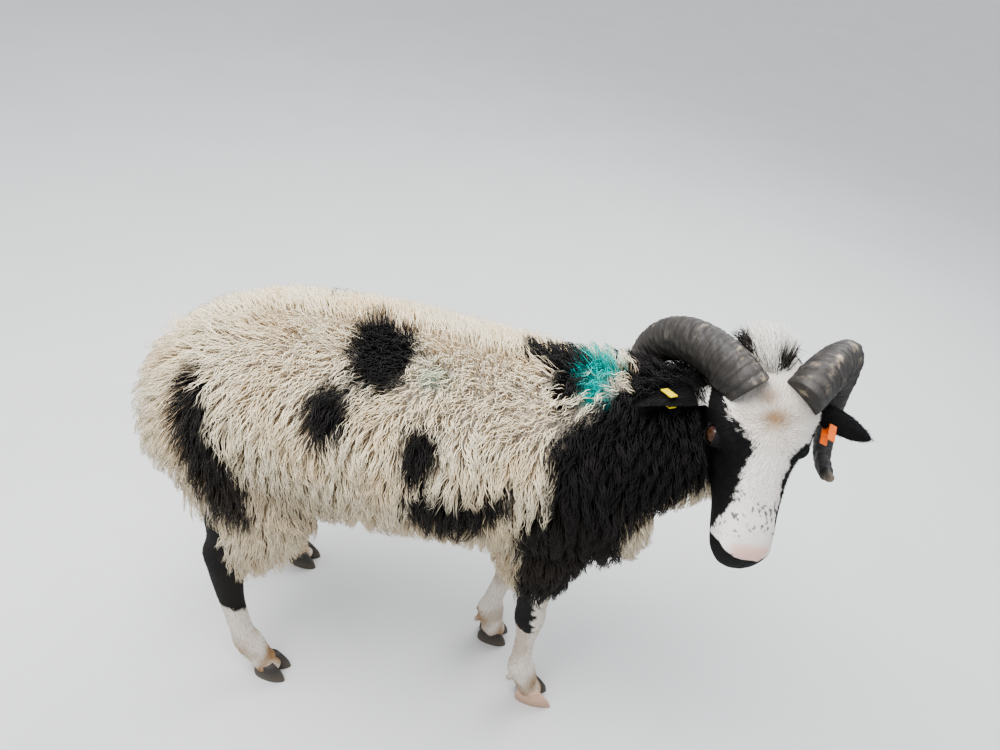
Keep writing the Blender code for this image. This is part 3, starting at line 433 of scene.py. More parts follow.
# Of each strand: its length, how high it stands, how far and how often it waves, its width, and how
# much it is gathered into its lock
Strand = namedtuple("Strand", "length rise wave turns width gather")
# Of strands ready for their mesh: place, normal and part of the root, path, width and tone
Strands = namedtuple("Strands", "places normals parts paths widths tones")
# Of a kind of hair: distance between roots, how unruly it is, its rise as a share of its length, its
# wave and width, how blurred its marks are, steps along a hair, and whether it ends short of the horns
Hair = namedtuple("Hair", "apart stray rise wave width blur steps clears")
HAIRS = {
    "topknot": Hair(0.0019, 0.25, 0.34, 0.0016, 0.0013, 0.0012, 5, True),
    "face_hair": Hair(0.0021, 0.16, 0.32, 0.0004, 0.0009, 0.0014, 3, False),
    "leg_hair": Hair(0.0042, 0.15, 0.28, 0.0004, 0.0012, 0.0020, 3, False),
}
KNOT_LENGTH = 0.032
TUFT_LENGTH = 0.030


def unit(vector):
    vector = np.asarray(vector, float)
    return vector / np.maximum(np.linalg.norm(vector, axis=-1, keepdims=True), 1e-12)


def power(value, exponent):
    return np.sign(value) * np.abs(value) ** exponent


def around(sides):
    return np.arange(sides) * 2 * math.pi / sides


def smooth(value, low, high):
    """Rises from 0 at low to 1 at high without a corner."""
    share = np.clip((value - low) / (high - low), 0, 1)
    return share * share * (3 - 2 * share)


def sampled(table, steps):
    """A table's rows read at even steps by a cubic that passes through them and never overshoots."""
    rows = np.array(table, float)
    slope = np.diff(rows, axis=0)
    before, after = slope[:-1], slope[1:]
    total = before + after
    inner = np.where(before * after > 0, 2 * before * after / np.where(total == 0, 1, total), 0)
    slopes = np.vstack([slope[:1], inner, slope[-1:]])
    place = np.linspace(0, len(rows) - 1, steps)
    first = np.minimum(place.astype(int), len(rows) - 2)
    t = (place - first)[:, None]
    start, end = rows[first], rows[first + 1]
    bend = (2 * t**3 - 3 * t**2 + 1) * start + (3 * t**2 - 2 * t**3) * end
    return bend + (t**3 - 2 * t**2 + t) * slopes[first] + (t**3 - t**2) * slopes[first + 1]


def ripple(points, size, seed):
    """Smooth noise between about -1 and 1, whose bumps are about this size."""
    chance = np.random.default_rng(seed)
    total = 0
    for _ in range(12):
        way = unit(chance.normal(size=3)) * 2 * math.pi / (size * chance.uniform(1.4, 3.0))
        total = total + np.sin(points @ way + chance.uniform(0, 2 * math.pi))
    return total / 3.5


def within(places, outline):
    """Distance inside an outline of 2D corners; it is negative outside."""
    corners = np.asarray(outline, float)
    nearest = np.full(len(places), 1e9)
    inside = np.zeros(len(places), bool)
    for start, end in zip(corners, np.roll(corners, -1, axis=0)):
        edge = end - start
        share = np.clip((places - start) @ edge / (edge @ edge), 0, 1)
        nearest = np.minimum(nearest, np.linalg.norm(places - start - share[:, None] * edge, axis=1))
        crosses = (start[1] > places[:, 1]) != (end[1] > places[:, 1])
        rise = edge[1] if edge[1] else 1e-12
        inside ^= crosses & (places[:, 0] < start[0] + edge[0] * (places[:, 1] - start[1]) / rise)
    return np.where(inside, nearest, -nearest)


def head_matrix():
    pitch = Matrix.Rotation(math.radians(HEAD_PITCH), 4, "Y")
    roll = Matrix.Rotation(math.radians(-HEAD_ROLL), 4, "X")
    yaw = Matrix.Rotation(math.radians(-HEAD_YAW), 4, "Z")
    return Matrix.Translation(POLL) @ yaw @ pitch @ roll


HEAD = np.array(head_matrix())


def to_head(points):
    return (points - HEAD[:3, 3]) @ HEAD[:3, :3]


def from_head(points):
    return points @ HEAD[:3, :3].T + HEAD[:3, 3]


def face_turned(points):
    """Rolls places of the face about its bridge."""
    points = np.asarray(points, float)
    angle = math.radians(FACE_TURN) * smooth(points[..., 0], 0.0, FACE_TURNED)
    y, z = points[..., 1], points[..., 2] - FACE_PIVOT
    side, up = y * np.cos(angle) + z * np.sin(angle), z * np.cos(angle) - y * np.sin(angle)
    return np.stack([points[..., 0], side, up + FACE_PIVOT], axis=-1)


def eye_middles():
    return face_turned([(EYE[0], side * EYE[1], EYE[2]) for side in (-1, 1)])


def handed(rings, right):
    """The rings of a left piece, mirrored for the right one."""
    rings = np.asarray(rings)
    return (rings * (1, -1, 1))[:, ::-1] if right else rings


def trunk_rings(inset, steps, sides):
    angle = around(sides)
    rings = []
    for x, top, bottom, half in sampled(TRUNK, steps):
        middle, tall = (top + bottom) / 2, max((top - bottom) / 2 - inset, 0.004)
        wide = max(half - inset, 0.004)
        y = wide * power(np.sin(angle), 0.92)
        z = middle + tall * power(np.cos(angle), 0.92)
        place = np.clip(x, TRUNK[0][0] + inset, TRUNK[-1][0] - inset)
        rings.append(np.stack([np.full_like(y, place), y, z], axis=1))
    return np.array(rings)


def neck_rings(inset, steps, sides):
    rows = sampled(NECK, steps)
    path = rows[:, 1:4]
    along = unit(np.gradient(path, axis=0))
    angle = around(sides)
    rings = []
    for share, middle, forward, (wide, deep) in zip(rows[:, 0], path, along, rows[:, 4:6]):
        side = unit(np.cross((0.0, 0.0, 1.0), forward))
        up = np.cross(forward, side)
        pinch = 1 - NECK_PINCH * share * np.maximum(np.cos(angle), 0)
        across = (wide - inset) * (np.sin(angle) * pinch)[:, None] * side
        rings.append(middle + across + (deep - inset) * np.cos(angle)[:, None] * up)
    return np.array(rings)


def upright_rings(table, inset, swing, steps, sides, least=0.003):
    """Level rings of a leg, its wool or the tail, whose foot is swung back."""
    top = table[0][0]
    angle = around(sides)
    rings = []
    for z, x, y, long, wide in sampled(table, steps):
        along = x - swing * (1 - min(z / top, 1.0)) + max(long - inset, least) * np.cos(angle)
        across = y + max(wide - inset, least) * np.sin(angle)
        rings.append(np.stack([along, across, np.full_like(along, z)], axis=1))
    return np.array(rings)


def skull_rings(steps, sides):
    angle = around(sides)
    upper = np.cos(angle) >= 0
    rings = []
    for n, top, bottom, level, half, square, low_square in sampled(SKULL, steps):
        tall = np.where(upper, top - level, level - bottom)
        exponent = np.where(upper, square, low_square)
        side = half * power(np.sin(angle), exponent)
        up = level + tall * power(np.cos(angle), exponent)
        points = np.stack([np.full_like(side, n), side, up], axis=1)
        outward = unit(points - (n, 0.0, level))
        raised = 0
        for middle, size, height in HEAD_HILLS:
            apart = (points * (1, 0, 1) + np.abs(points) * (0, 1, 0) - middle) / size
            raised = raised + height * np.exp(-(apart**2).sum(axis=-1))
        rings.append(points + outward * raised[:, None])
    return np.array(rings)


def ear_axes(right, share):
    """A place along the middle of the ear, the way to its tip, the way it opens, and across it."""
    root, tip = np.array(EAR_ROOT), np.array(EAR_TIP_RIGHT if right else EAR_TIP_LEFT)
    along = unit(tip - root)
    face = np.array(EAR_FACES)
    face = unit(face - face.dot(along) * along)
    across = np.cross(face, along)
    roll = math.radians(EAR_ROLL_RIGHT if right else 0.0) * share
    rolled = math.cos(roll) * face + math.sin(roll) * across
    return root + share * (tip - root), along, rolled, np.cross(rolled, along)


def ear_rings(right, steps, sides):
    place = np.linspace(-1, 1, sides)
    edge = 1 - place**2
    rings = []
    for share, half, thick, cup in sampled(EAR, steps):
        middle, _, face, across = ear_axes(right, share)
        wall = (EAR_RIM + (1 - EAR_RIM) * edge) * thick / 2
        back, front = -cup * edge - wall, -cup * edge + wall
        side = np.concatenate([place, place[::-1]]) * half
        depth = np.concatenate([back, front[::-1]])
        rings.append(middle + np.outer(side, across) + np.outer(depth, face))
    return handed(rings, right)


def horn_path(turns):
    axis = unit(HORN_AXIS)
    first = np.array(HORN_FIRST)
    first = unit(first - first.dot(axis) * axis)
    second = np.cross(first, axis)
    reach = HORN_START * np.exp(-HORN_SHRINK * turns)
    path = np.array(HORN_MIDDLE) + np.outer(HORN_DRIFT * -turns, axis)
    path = path + np.outer(reach * np.cos(turns), first) + np.outer(reach * np.sin(turns), second)
    out = np.outer(np.cos(turns), first) + np.outer(np.sin(turns), second)
    return path, out


def claw_rings(foot, outer, longer, steps, sides):
    angle = around(sides)
    ahead = np.maximum(np.cos(angle), 0)
    rings = []
    for z, heel, toe, half in sampled(CLAW, steps):
        long, middle = (toe - heel) / 2, (toe + heel) / 2
        narrow = 1 - CLAW_POINT * ahead**2
        along = middle + long * power(np.cos(angle), 0.85) + longer * ahead**2 * (1 - z / CLAW[-1][0])
        across = half * power(np.sin(angle), 0.85) * narrow
        rings.append(np.stack([along, across, np.full_like(along, z)], axis=1))
    side = 1 if outer else -1
    turn = np.array(Matrix.Rotation(math.radians(side * CLAW_SPLAY), 3, "Z"))
    return np.array(rings) @ turn.T + (foot[0], foot[1] + side * CLAW_APART, 0.0)


def feet():
    """Name, middle and side of each foot."""
    for right, side in ((False, "left"), (True, "right")):
        for fore, name, (x, y) in ((True, "fore", FORE_FOOT), (False, "hind", HIND_FOOT)):
            step = 0.0 if right else FORE_STEP if fore else HIND_STEP
            yield f"{name}_{side}", (x - step, y), right, fore, step


def ball_rings(middle, size, steps, sides):
    rings = []
    for turn in np.linspace(0, math.pi, steps + 2)[1:-1]:
        angle = around(sides)
        ring = np.stack([np.sin(turn) * np.cos(angle), np.sin(turn) * np.sin(angle)], axis=1)
        rings.append(np.column_stack([ring, np.full(sides, math.cos(turn))]) * size + middle)
    return np.array(rings)


def mesh_object(name, points, faces):
    """An object from arrays of points and triangles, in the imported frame."""
    mesh = bpy.data.meshes.new(name)
    points, faces = np.asarray(points, np.float32), np.asarray(faces, np.int32)
    mesh.vertices.add(len(points))
    mesh.vertices.foreach_set("co", (points - np.float32(ORIGIN)).ravel())
    mesh.loops.add(faces.size)
    mesh.loops.foreach_set("vertex_index", faces.ravel())
    mesh.polygons.add(len(faces))
    mesh.polygons.foreach_set("loop_start", np.arange(0, faces.size, 3, dtype=np.int32))
    mesh.update(calc_edges=True)
    obj = bpy.data.objects.new(name, mesh)
    bpy.context.scene.collection.objects.link(obj)
    mesh.shade_smooth()
    return obj


def loft(name, rings):
    """A closed skin over rings of like count, facing out."""
    rings = np.asarray(rings, float)
    count, sides = rings.shape[:2]
    points = np.vstack([rings.reshape(-1, 3), rings[0].mean(axis=0), rings[-1].mean(axis=0)])
    side = np.arange(sides)
    other = (side + 1) % sides
    first, last = count * sides, count * sides + 1
    start = (np.arange(count - 1) * sides)[:, None]
    a, b = (start + side).ravel(), (start + other).ravel()
    faces = np.concatenate([
        np.stack([np.full(sides, first), other, side], axis=1),
        np.stack([np.full(sides, last), (count - 1) * sides + side, (count - 1) * sides + other], axis=1),
        np.stack([a, b, b + sides], axis=1),
        np.stack([a, b + sides, a + sides], axis=1),
    ])
    corners = points[faces]
    if np.einsum("ij,ij->i", corners[:, 0], np.cross(corners[:, 1], corners[:, 2])).sum() < 0:
        faces = faces[:, ::-1]
    return mesh_object(name, points, faces)


def combine(obj, operation, others):
    """Joins to or cuts from an object others, which are then removed."""
    group = bpy.data.collections.new("tools")
    bpy.context.scene.collection.children.link(group)
    for other in others:
        group.objects.link(other)
    modifier = obj.modifiers.new("boolean", "BOOLEAN")
    modifier.operation = operation
    modifier.solver = "MANIFOLD"
    modifier.operand_type = "COLLECTION"
    modifier.collection = group
    result = bpy.data.meshes.new_from_object(obj.evaluated_get(bpy.context.evaluated_depsgraph_get()))
    obj.modifiers.clear()
    obj.data = result
    for other in others:
        bpy.data.objects.remove(other, do_unlink=True)
    bpy.data.collections.remove(group)
    return obj


def soften(obj, angle, reach, times):
    """Rounds the creases where forms were joined or cut."""
    shell = bmesh.new()
    shell.from_mesh(obj.data)
    sharp = math.radians(angle)
    soft = {v for e in shell.edges if e.is_manifold and e.calc_face_angle(0.0) > sharp for v in e.verts}
    for _ in range(reach):
        soft |= {e.other_vert(v) for v in soft for e in v.link_edges}
    soft = list(soft)
    for _ in range(times):
        bmesh.ops.smooth_vert(
            shell, verts=soft, factor=0.5, use_axis_x=True, use_axis_y=True, use_axis_z=True
        )
    shell.to_mesh(obj.data)
    shell.free()
    return obj


def leg_forms(foot, fore, step):
    """The wool of thigh or elbow, the leg and its two dewclaws, with their parts."""
    table, inset = (FORE_WOOL, THIN) if fore else (HIND_WOOL, MIDDLING)
    leg = FORE_LEG if fore else HIND_LEG
    yield upright_rings(table, inset, step, *NETS["wool"]), ELBOW_PART if fore else THIGH_PART
    yield upright_rings(leg, 0.0, step, *NETS["leg"]), LEG_PART
    back, apart, up = DEWCLAW_PLACE
    for side in (-1, 1):
        middle = (foot[0] + step * up / leg[0][0] - back, foot[1] + side * apart, up)
        yield ball_rings(middle, DEWCLAW, *NETS["dewclaw"]), LEG_PART


def forms():
    """The rings of every form under the skin, with its part."""
    yield trunk_rings(DEEP, *NETS["trunk"]), TRUNK_PART
    yield neck_rings(MIDDLING, *NETS["neck"]), NECK_PART
    yield upright_rings(TAIL, THIN, 0.0, *NETS["tail"], TAIL_LEAST), TAIL_PART
    for _, foot, right, fore, step in feet():
        for rings, part in leg_forms(foot, fore, step):
            yield handed(rings, right), part
    yield from_head(face_turned(skull_rings(*NETS["skull"]))), HEAD_PART
    yield from_head(ball_rings(TOPKNOT, TOPKNOT_SIZE, *NETS["topknot"])), KNOT_PART
    for side in (-1, 1):
        lids = ball_rings((EYE[0], side * EYE[1], EYE[2]), [EYE_RADIUS + LID] * 3, *NETS["eye"])
        yield from_head(face_turned(lids)), HEAD_PART
    for right in (False, True):
        yield from_head(ear_rings(right, *NETS["ear"])), EAR_PART


def eye_cutters(side):
    """What opens the lids: the almond between them, and the ball's own socket."""
    angle = around(48)
    almond = np.stack([EYE_LENGTH * np.cos(angle), EYE_OPENING * power(np.sin(angle), 1.35)], axis=1)
    tilt = math.radians(-EYE_SLANT)
    turned = almond @ np.array([[math.cos(tilt), math.sin(tilt)], [-math.sin(tilt), math.cos(tilt)]])
    rings = []
    for out in (0.0, 0.030):
        spread = 1 + out * 8
        rise = EYE[2] + OPENING_RISE * out
        ring = [(EYE[0] + x * spread, EYE[1] + out, rise + z * spread) for x, z in turned]
        rings.append(np.array(ring) * (1, side, 1))
    socket = ball_rings((EYE[0], side * EYE[1], EYE[2]), [EYE_RADIUS] * 3, *NETS["eye"])
    return [loft("cutter", from_head(face_turned(part))) for part in (rings, socket)]


def mouth_cutter():
    """A thin band that runs round the muzzle from corner to corner along the line of the mouth."""
    corner, front = np.array(MOUTH_CORNER), np.array(MOUTH_FRONT)
    lift = np.array((0.0, 0.0, MOUTH_HALF))
    rings = []
    for angle in np.radians(np.linspace(-90, 90, MOUTH_STEPS)):
        reach = math.cos(angle) ** 0.8
        point = corner * (1, math.sin(angle), 1) + (front - corner) * (1, 0, 1) * reach
        point[2] += MOUTH_WAVE * math.cos(angle * 3)
        out = unit((math.cos(angle) + 0.05, math.sin(angle), 0.0))
        inner, outer = point - out * MOUTH_DEPTH, point + out * MOUTH_BEYOND
        rings.append([inner - lift * 0.4, outer - lift * 2, outer + lift * 2, inner + lift * 0.4])
    return loft("mouth", from_head(face_turned(rings)))


def nostril_cutter(side):
    rings = ball_rings((0.0, 0.0, 0.0), NOSTRIL_SIZE, *NETS["nostril"])
    turn = Matrix.Rotation(math.radians(side * NOSTRIL_TURN), 3, "X")
    lean = Matrix.Rotation(math.radians(side * NOSTRIL_LEAN), 3, "Z")
    turned = rings @ np.array(lean @ turn).T + (NOSTRIL[0], side * NOSTRIL[1], NOSTRIL[2])
    return loft("nostril", from_head(face_turned(turned)))


def read(items, name, width, kind=np.float32):
    """Rows of values of a mesh's points or faces."""
    values = np.empty(len(items) * width, kind)
    items.foreach_get(name, values)
    return values.reshape(-1, width)


def points_of(obj):
    return read(obj.data.vertices, "co", 3).astype(float) + ORIGIN


def part_of(points):
    """The part whose form each place is nearest to."""
    forms_points, parts = [], []
    for rings, part in forms():
        forms_points.append(rings.reshape(-1, 3))
        parts.append(np.full(rings.shape[0] * rings.shape[1], part))
    tree = tree_of(np.concatenate(forms_points))
    return np.concatenate(parts)[[tree.find(point)[1] for point in points]]


def trunk_angle(points):
    """Degrees round the trunk from the top of the back, minus on the right."""
    table = np.array(TRUNK)
    top, bottom, half = (np.interp(points[:, 0], table[:, 0], table[:, i]) for i in (1, 2, 3))
    half = np.maximum(half, 0.06)
    tall = np.maximum((top - bottom) / 2, 0.06)
    return np.degrees(np.arctan2(points[:, 1] / half, (points[:, 2] - (top + bottom) / 2) / tall))


def blob(points, place):
    """Distance-like measure inside an ellipsoid, 1 at its middle and 0 at its surface."""
    middle, size = place
    return 1 - np.linalg.norm((points - middle) / size, axis=1)


def unrolled(along, turn, spread):
    """Places on a flat chart: along a form, and round it in degrees times the chart's spread."""
    return np.stack([along, np.radians(turn) * spread], axis=-1)


def outline_of(table, spread):
    """The corners of a table's patch on such a chart."""
    return unrolled(*np.array(table, float).T, spread)


def throat_at(points, wander=0.0):
    """How far a place belongs to the white band under the throat."""
    place, way = np.array(THROAT_EDGE)
    below = (points - place) @ way + wander
    return smooth(below, -0.003, 0.003) * smooth(blob(points, THROAT) + 8 * wander, -0.04, 0.04)


def rump_band(points):
    """Distance inside the dark band of the rump, which is narrower on the left."""
    flank = points[:, [0, 2]]
    right = within(flank, RUMP_BAND)
    left = within(flank + LEFT_BAND_SHIFT, RUMP_BAND) - LEFT_BAND_NARROWED
    return np.where(points[:, 1] < -0.02, right, np.where(points[:, 1] > 0.05, left, -1.0))


def body_marks(points):
    """How dark, how sprayed and how soiled the coat is at places on the body; the tint that grows down the
    flanks is soil and painted shade of the lower body.
    """
    chart = unrolled(points[:, 0], trunk_angle(points), TRUNK_SPREAD)
    wander = 0.006 * ripple(points, 0.022, 3) + 0.003 * ripple(points, 0.008, 4)
    dark = rump_band(points)
    for patch in DARK_PATCHES:
        dark = np.maximum(dark, within(chart, outline_of(patch, TRUNK_SPREAD)))
    dark = smooth(dark + wander, -PATCH_EDGE, PATCH_EDGE)
    hem = smooth(HEM_HEIGHT - points[:, 2] + wander, -0.003, 0.003) * (points[:, 0] < 0.10)
    dark = np.minimum(dark, 1 - hem) * (1 - throat_at(points, 0.5 * wander))
    sprayed = within(chart, outline_of(SPRAY_PATCH, TRUNK_SPREAD)) + 1.2 * wander
    smudge = np.linalg.norm(chart - unrolled(*SPRAY_SMUDGE[:2], TRUNK_SPREAD), axis=1)
    faint = 0.28 * smooth(-smudge, -SPRAY_SMUDGE[2] * 1.6, 0)
    spray = np.maximum(smooth(sprayed, -0.006, 0.010), faint)
    # Darker and warmer towards the belly: soil, and painted shade of the lower body
    low = smooth(-points[:, 2], -SOIL_AND_SHADE_START, -SOIL_AND_SHADE_FULL)
    soil_and_shade = 0.42 * low * (0.75 + 0.35 * ripple(points, 0.05, 6)) * (1 - 0.9 * dark)
    return dark, spray, soil_and_shade


def between(value, span):
    return (value > span[0]) & (value < span[1])


def leg_marks(points):
    """The same for the bare legs."""
    wander = 0.010 * ripple(points, 0.03, 8) + 0.004 * ripple(points, 0.009, 9)
    x, y, z = points.T
    edge = z + wander
    centre = np.interp(-z, [-row[0] for row in FORE_LEG], [row[1] for row in FORE_LEG])
    knee = between(edge, RIGHT_KNEE) & (x < centre + 0.004 + wander) & (x > 0.12)
    fore = np.where(y < 0, knee, between(edge, LEFT_KNEE) & (x < 0.135))
    dark = np.where(x > 0, fore, np.where(y < 0, between(edge, RIGHT_HOCK), edge > LEFT_HOCK))
    soil_and_shade = 0.85 * smooth(-z, -0.090, -0.015) * (0.6 + 0.5 * ripple(points, 0.02, 10))
    soil_and_shade += 0.30 * smooth(ripple(points, 0.03, 14), 0.0, 0.9) + 0.22
    soil_and_shade = soil_and_shade * (1 - 0.95 * dark)
    apart = (points - RUST_SPOT[0]) / RUST_SPOT[1]
    rust = 0.7 * np.exp(-(apart**2).sum(axis=1))
    return dark.astype(float), np.zeros(len(points)), np.clip(np.maximum(soil_and_shade, rust), 0, 1)


def round_head(places):
    """Degrees round the head from its bridge, minus on the right."""
    return np.degrees(np.arctan2(places[:, 1], places[:, 2] + 0.04))


def lips_at(places):
    edge = np.interp(round_head(places), *np.array(LIP_EDGE).T)
    return smooth(places[:, 0] - edge, -0.0007, 0.0007)


def bare_at(places):
    """How bare and pink the skin is at places in the head's frame."""
    turn = np.abs(round_head(places) - 5)
    nose = smooth(places[:, 0], 0.187, 0.198) * (1 - smooth(turn, 36, 56)) * (1 - lips_at(places))
    for middle in eye_middles():
        apart = np.linalg.norm(places - middle, axis=1)
        below = np.exp(-(((places[:, 2] - middle[2] + 0.0068) / 0.0022) ** 2))
        nose = np.maximum(nose, 0.3 * below * (apart < EYE_RADIUS + LID + 0.0012))
    return nose


def speckled(points, places):
    """Where dark speckles lie on the lower bridge of the nose."""
    speckle = smooth(ripple(points, 0.0026, 15), 0.42, 0.56) * smooth(places[:, 0], 0.112, 0.135)
    speckle = speckle * smooth(ripple(points, 0.011, 19), -0.25, 0.35)
    return 0.8 * speckle * (1 - smooth(places[:, 0], 0.180, 0.188))


def head_marks(points):
    """The same for the head, from places in its own frame."""
    places = to_head(points)
    chart = unrolled(places[:, 0], round_head(places), HEAD_SPREAD)
    wander = 0.0022 * ripple(points, 0.012, 12) + 0.0012 * ripple(points, 0.004, 13)
    blaze = within(chart, outline_of(BLAZE, HEAD_SPREAD))
    light = smooth(blaze + wander, -0.0012, 0.0012) * (1 - lips_at(places))
    light *= 1 - smooth(-places[:, 2], 0.070, 0.078)
    nostrils = face_turned([(NOSTRIL[0] - 0.002, side * NOSTRIL[1], NOSTRIL[2]) for side in (-1, 1)])
    for middle in nostrils:
        light *= 1 - 0.9 * smooth(blob(places, (middle, NOSTRIL_SHADE)), 0.0, 0.25)
    light *= 1 - speckled(points, places)
    tan = np.exp(-(((places - TAN_SPOT[0]) / TAN_SPOT[1]) ** 2).sum(axis=1))
    tan = 0.85 * tan * (0.8 + 0.3 * ripple(points, 0.012, 18))
    return 1 - light, np.zeros(len(points)), np.clip(tan, 0, 1) * light


def knot_marks(points):
    places = to_head(points)
    spot = smooth(blob(places, KNOT_SPOT) + 0.25 * ripple(points, 0.010, 17), 0.0, 0.2)
    edge = smooth(-places[:, 1], 0.036, 0.041) * smooth(-places[:, 0], 0.036, 0.042)
    return np.maximum(spot, edge), np.zeros(len(points)), np.full(len(points), 0.02)


def marks_at(points, parts):
    """Dark, spray and soil of the coat at each place, where the soil on the flanks is also painted shade, in
    0 to 1, and room for its tone.
    """
    marks = np.zeros((len(points), 4))
    readers = ((WOOLLY, body_marks), (LEG_PART, leg_marks), (HEAD_PART, head_marks), (KNOT_PART, knot_marks))
    for wanted, reader in readers:
        chosen = np.isin(parts, wanted)
        if chosen.any():
            marks[chosen, :3] = np.stack(reader(points[chosen]), axis=1)
    ears = parts == EAR_PART
    marks[ears, 0] = 1 - smooth(blob(to_head(points[ears]), EAR_TUFT), -0.05, 0.10)
    return np.clip(marks, 0, 1)


def store(obj, name, kind, values):
    """Stores a value for each point of a mesh."""
    layer = obj.data.attributes.new(name, kind, "POINT")
    values = np.asarray(values, np.int32 if kind == "INT" else np.float32)
    layer.data.foreach_set("color" if kind == "FLOAT_COLOR" else "value", values.ravel())


def set_marks(obj, marks, along):
    """Stores the markings and how far along its strand each point is."""
    store(obj, "marks", "FLOAT_COLOR", marks)
    store(obj, "along", "FLOAT", along)


def head_lies(places):
    """Which way the hair lies on the head, in its own frame: a fan from the whorl, then down the cheeks."""
    cheek = smooth(np.abs(places[:, 1]) - 0.012, 0.0, 0.030)[:, None]
    return unit(places - WHORL) * (1 - 0.75 * cheek) + cheek * np.array((-0.35, 0.0, -0.80))


def trunk_lies(points, flat):
    """Which way the wool lies on the trunk: down, back over the rump, and apart along the spine."""
    behind = smooth(-points[:, 0], 0.24, 0.36)[:, None]
    lie = np.tile((0.10, 0.0, -1.0), (len(points), 1)) * (1 - behind) + behind * np.array((-0.60, 0.0, -0.75))
    sideways = np.sign(points[:, 1]) * 0.7
    spine = np.stack([np.full(len(points), -0.6), sideways, np.full(len(points), -0.3)], axis=1)
    return unit(lie) * (1 - flat) + flat * spine


def lies_at(points, normals, parts, stray, chance):
    """Which way the coat lies at each place, along the skin. Near places lie alike."""
    flat = smooth(normals[:, 2], 0.35, 0.95)[:, None]
    places = to_head(points)
    turned = HEAD[:3, :3].T
    lie = trunk_lies(points, flat)
    for part, way in LIES.items():
        lie[parts == part] = way
    lie = np.where((parts == HEAD_PART)[:, None], head_lies(places) @ turned, lie)
    apart = (places[:, 1:2] - TOPKNOT[1]) / TOPKNOT_SIZE[1]
    knot = np.array((-0.75, -0.25, 0.0)) + apart * np.array((0.0, 0.75, 0.0))
    lie = np.where((parts == KNOT_PART)[:, None], knot @ turned, lie)
    ears = parts == EAR_PART
    for right in (False, True):
        along = ear_axes(right, 0.0)[1] * (1, -1 if right else 1, 1)
        lie[ears & ((places[:, 1] < 0) == right)] = along @ turned
    lie[ears & (blob(places, EAR_TUFT) > 0)] = EAR_TUFT_LIE @ turned
    trunk = (parts == TRUNK_PART)[:, None]
    swirl = np.stack([ripple(points, 0.055, seed) for seed in (31, 32, 33)], axis=1)
    swirl += 0.6 * np.stack([ripple(points, 0.022, seed) for seed in (34, 35, 36)], axis=1)
    strength = np.where(trunk, 0.20 + 0.12 * flat, 0.16)
    loose_ends = stray + 0.30 * flat * trunk
    lie = unit(lie) + strength * swirl + loose_ends * chance.normal(size=lie.shape)
    return unit(lie - (lie * normals).sum(axis=1, keepdims=True) * normals)


def chart_of(points, parts):
    """Each place's spot on an unwrap of the skin: a rectangle for each part, station by angle."""
    spots = np.zeros((len(points), 2))
    places = to_head(points)
    x, y, z = points.T
    for part, low, high in CHARTS:
        chosen = parts == part
        if part in (TRUNK_PART, NECK_PART):
            station, turn = (x + 0.39) / 0.85, trunk_angle(points) / 360 + 0.5
        elif part in (HEAD_PART, KNOT_PART, EAR_PART):
            station = (places[:, 0] + 0.08) / 0.32 + 0.02 * places[:, 1]
            turn = np.arctan2(places[:, 1], places[:, 2] + 0.05) / (2 * math.pi) + 0.5
        else:
            middle = np.where(x > 0, 0.17, -0.24)
            station = 0.25 * ((x > 0) + 2.0 * (y > 0)) + 0.24 * np.clip(z / 0.56, 0, 1)
            turn = np.arctan2(np.abs(y) - 0.08, x - middle) / (2 * math.pi) + 0.5
        spot = np.stack([np.clip(station, 0, 1), np.clip(turn, 0, 1)], axis=1)
        spots[chosen] = (np.array(low) + spot * (np.array(high) - low))[chosen]
    return spots


def sown(corners, normals, area, apart, chance):
    """Many places at random over triangles, with the ways they face and their triangles."""
    count = int(3.2 * area.sum() / apart**2)
    chosen = chance.choice(len(area), count, p=area / area.sum())
    share = np.sort(chance.random((count, 2)), axis=1)
    weights = np.stack([share[:, 0], share[:, 1] - share[:, 0], 1 - share[:, 1]], axis=1)[:, :, None]
    return (corners[chosen] * weights).sum(axis=1), unit((normals[chosen] * weights).sum(axis=1)), chosen


def thinned(places, apart):
    """The rows of places that are left when none may lie too near an earlier one."""
    tree = tree_of(places)
    waiting = np.ones(len(places), bool)
    kept = []
    for index, place in enumerate(places):
        if waiting[index]:
            kept.append(index)
            for _, near, _ in tree.find_range(place, apart * 0.82):
                waiting[near] = False
    return kept


def scattered(obj, wanted, apart, stray, chance):
    """Roots set evenly over the wanted parts of the skin."""
    faces = read(obj.data.polygons, "vertices", 3, np.int32)
    corners, normals = points_of(obj)[faces], read(obj.data.vertices, "normal", 3)[faces]
    parts = read(obj.data.attributes["part"].data, "value", 1, np.int32)[faces[:, 0], 0]
    area = np.linalg.norm(np.cross(corners[:, 1] - corners[:, 0], corners[:, 2] - corners[:, 0]), axis=1) / 2
    area = np.where(np.isin(parts, wanted), area, 0)
    places, ways, chosen = sown(corners, normals, area, apart, chance)
    kept = thinned(places, apart)
    places, ways, parts = places[kept], ways[kept], parts[chosen][kept]
    return Roots(places, ways, lies_at(places, ways, parts, stray, chance), parts)


def tree_of(points):
    """A search tree of points."""
    tree = KDTree(len(points))
    for index, point in enumerate(points):
        tree.insert(point, index)
    tree.balance()
    return tree


def rows_of(values, chosen):
    """The same named arrays with only the chosen rows."""
    return type(values)(*(np.asarray(value)[chosen] for value in values))


def steps_of(rings):
    """Where the rings of a strand stand along it, with its tip last."""
    return np.linspace(0, 1, rings + 1) ** 0.85


def wave_of(roots, size, t, phase, height):
    """How far a strand waves to the side and up, at its steps."""
    turn = 2 * math.pi * size.turns[:, None] * t + phase[:, None]
    reach = size.wave[:, None] * t**0.7
    across = np.cross(roots.normals, roots.lies)[:, None]
    side, lift = reach * np.sin(turn), height * reach * np.cos(turn)
    return side[..., None] * across + lift[..., None] * roots.normals[:, None]


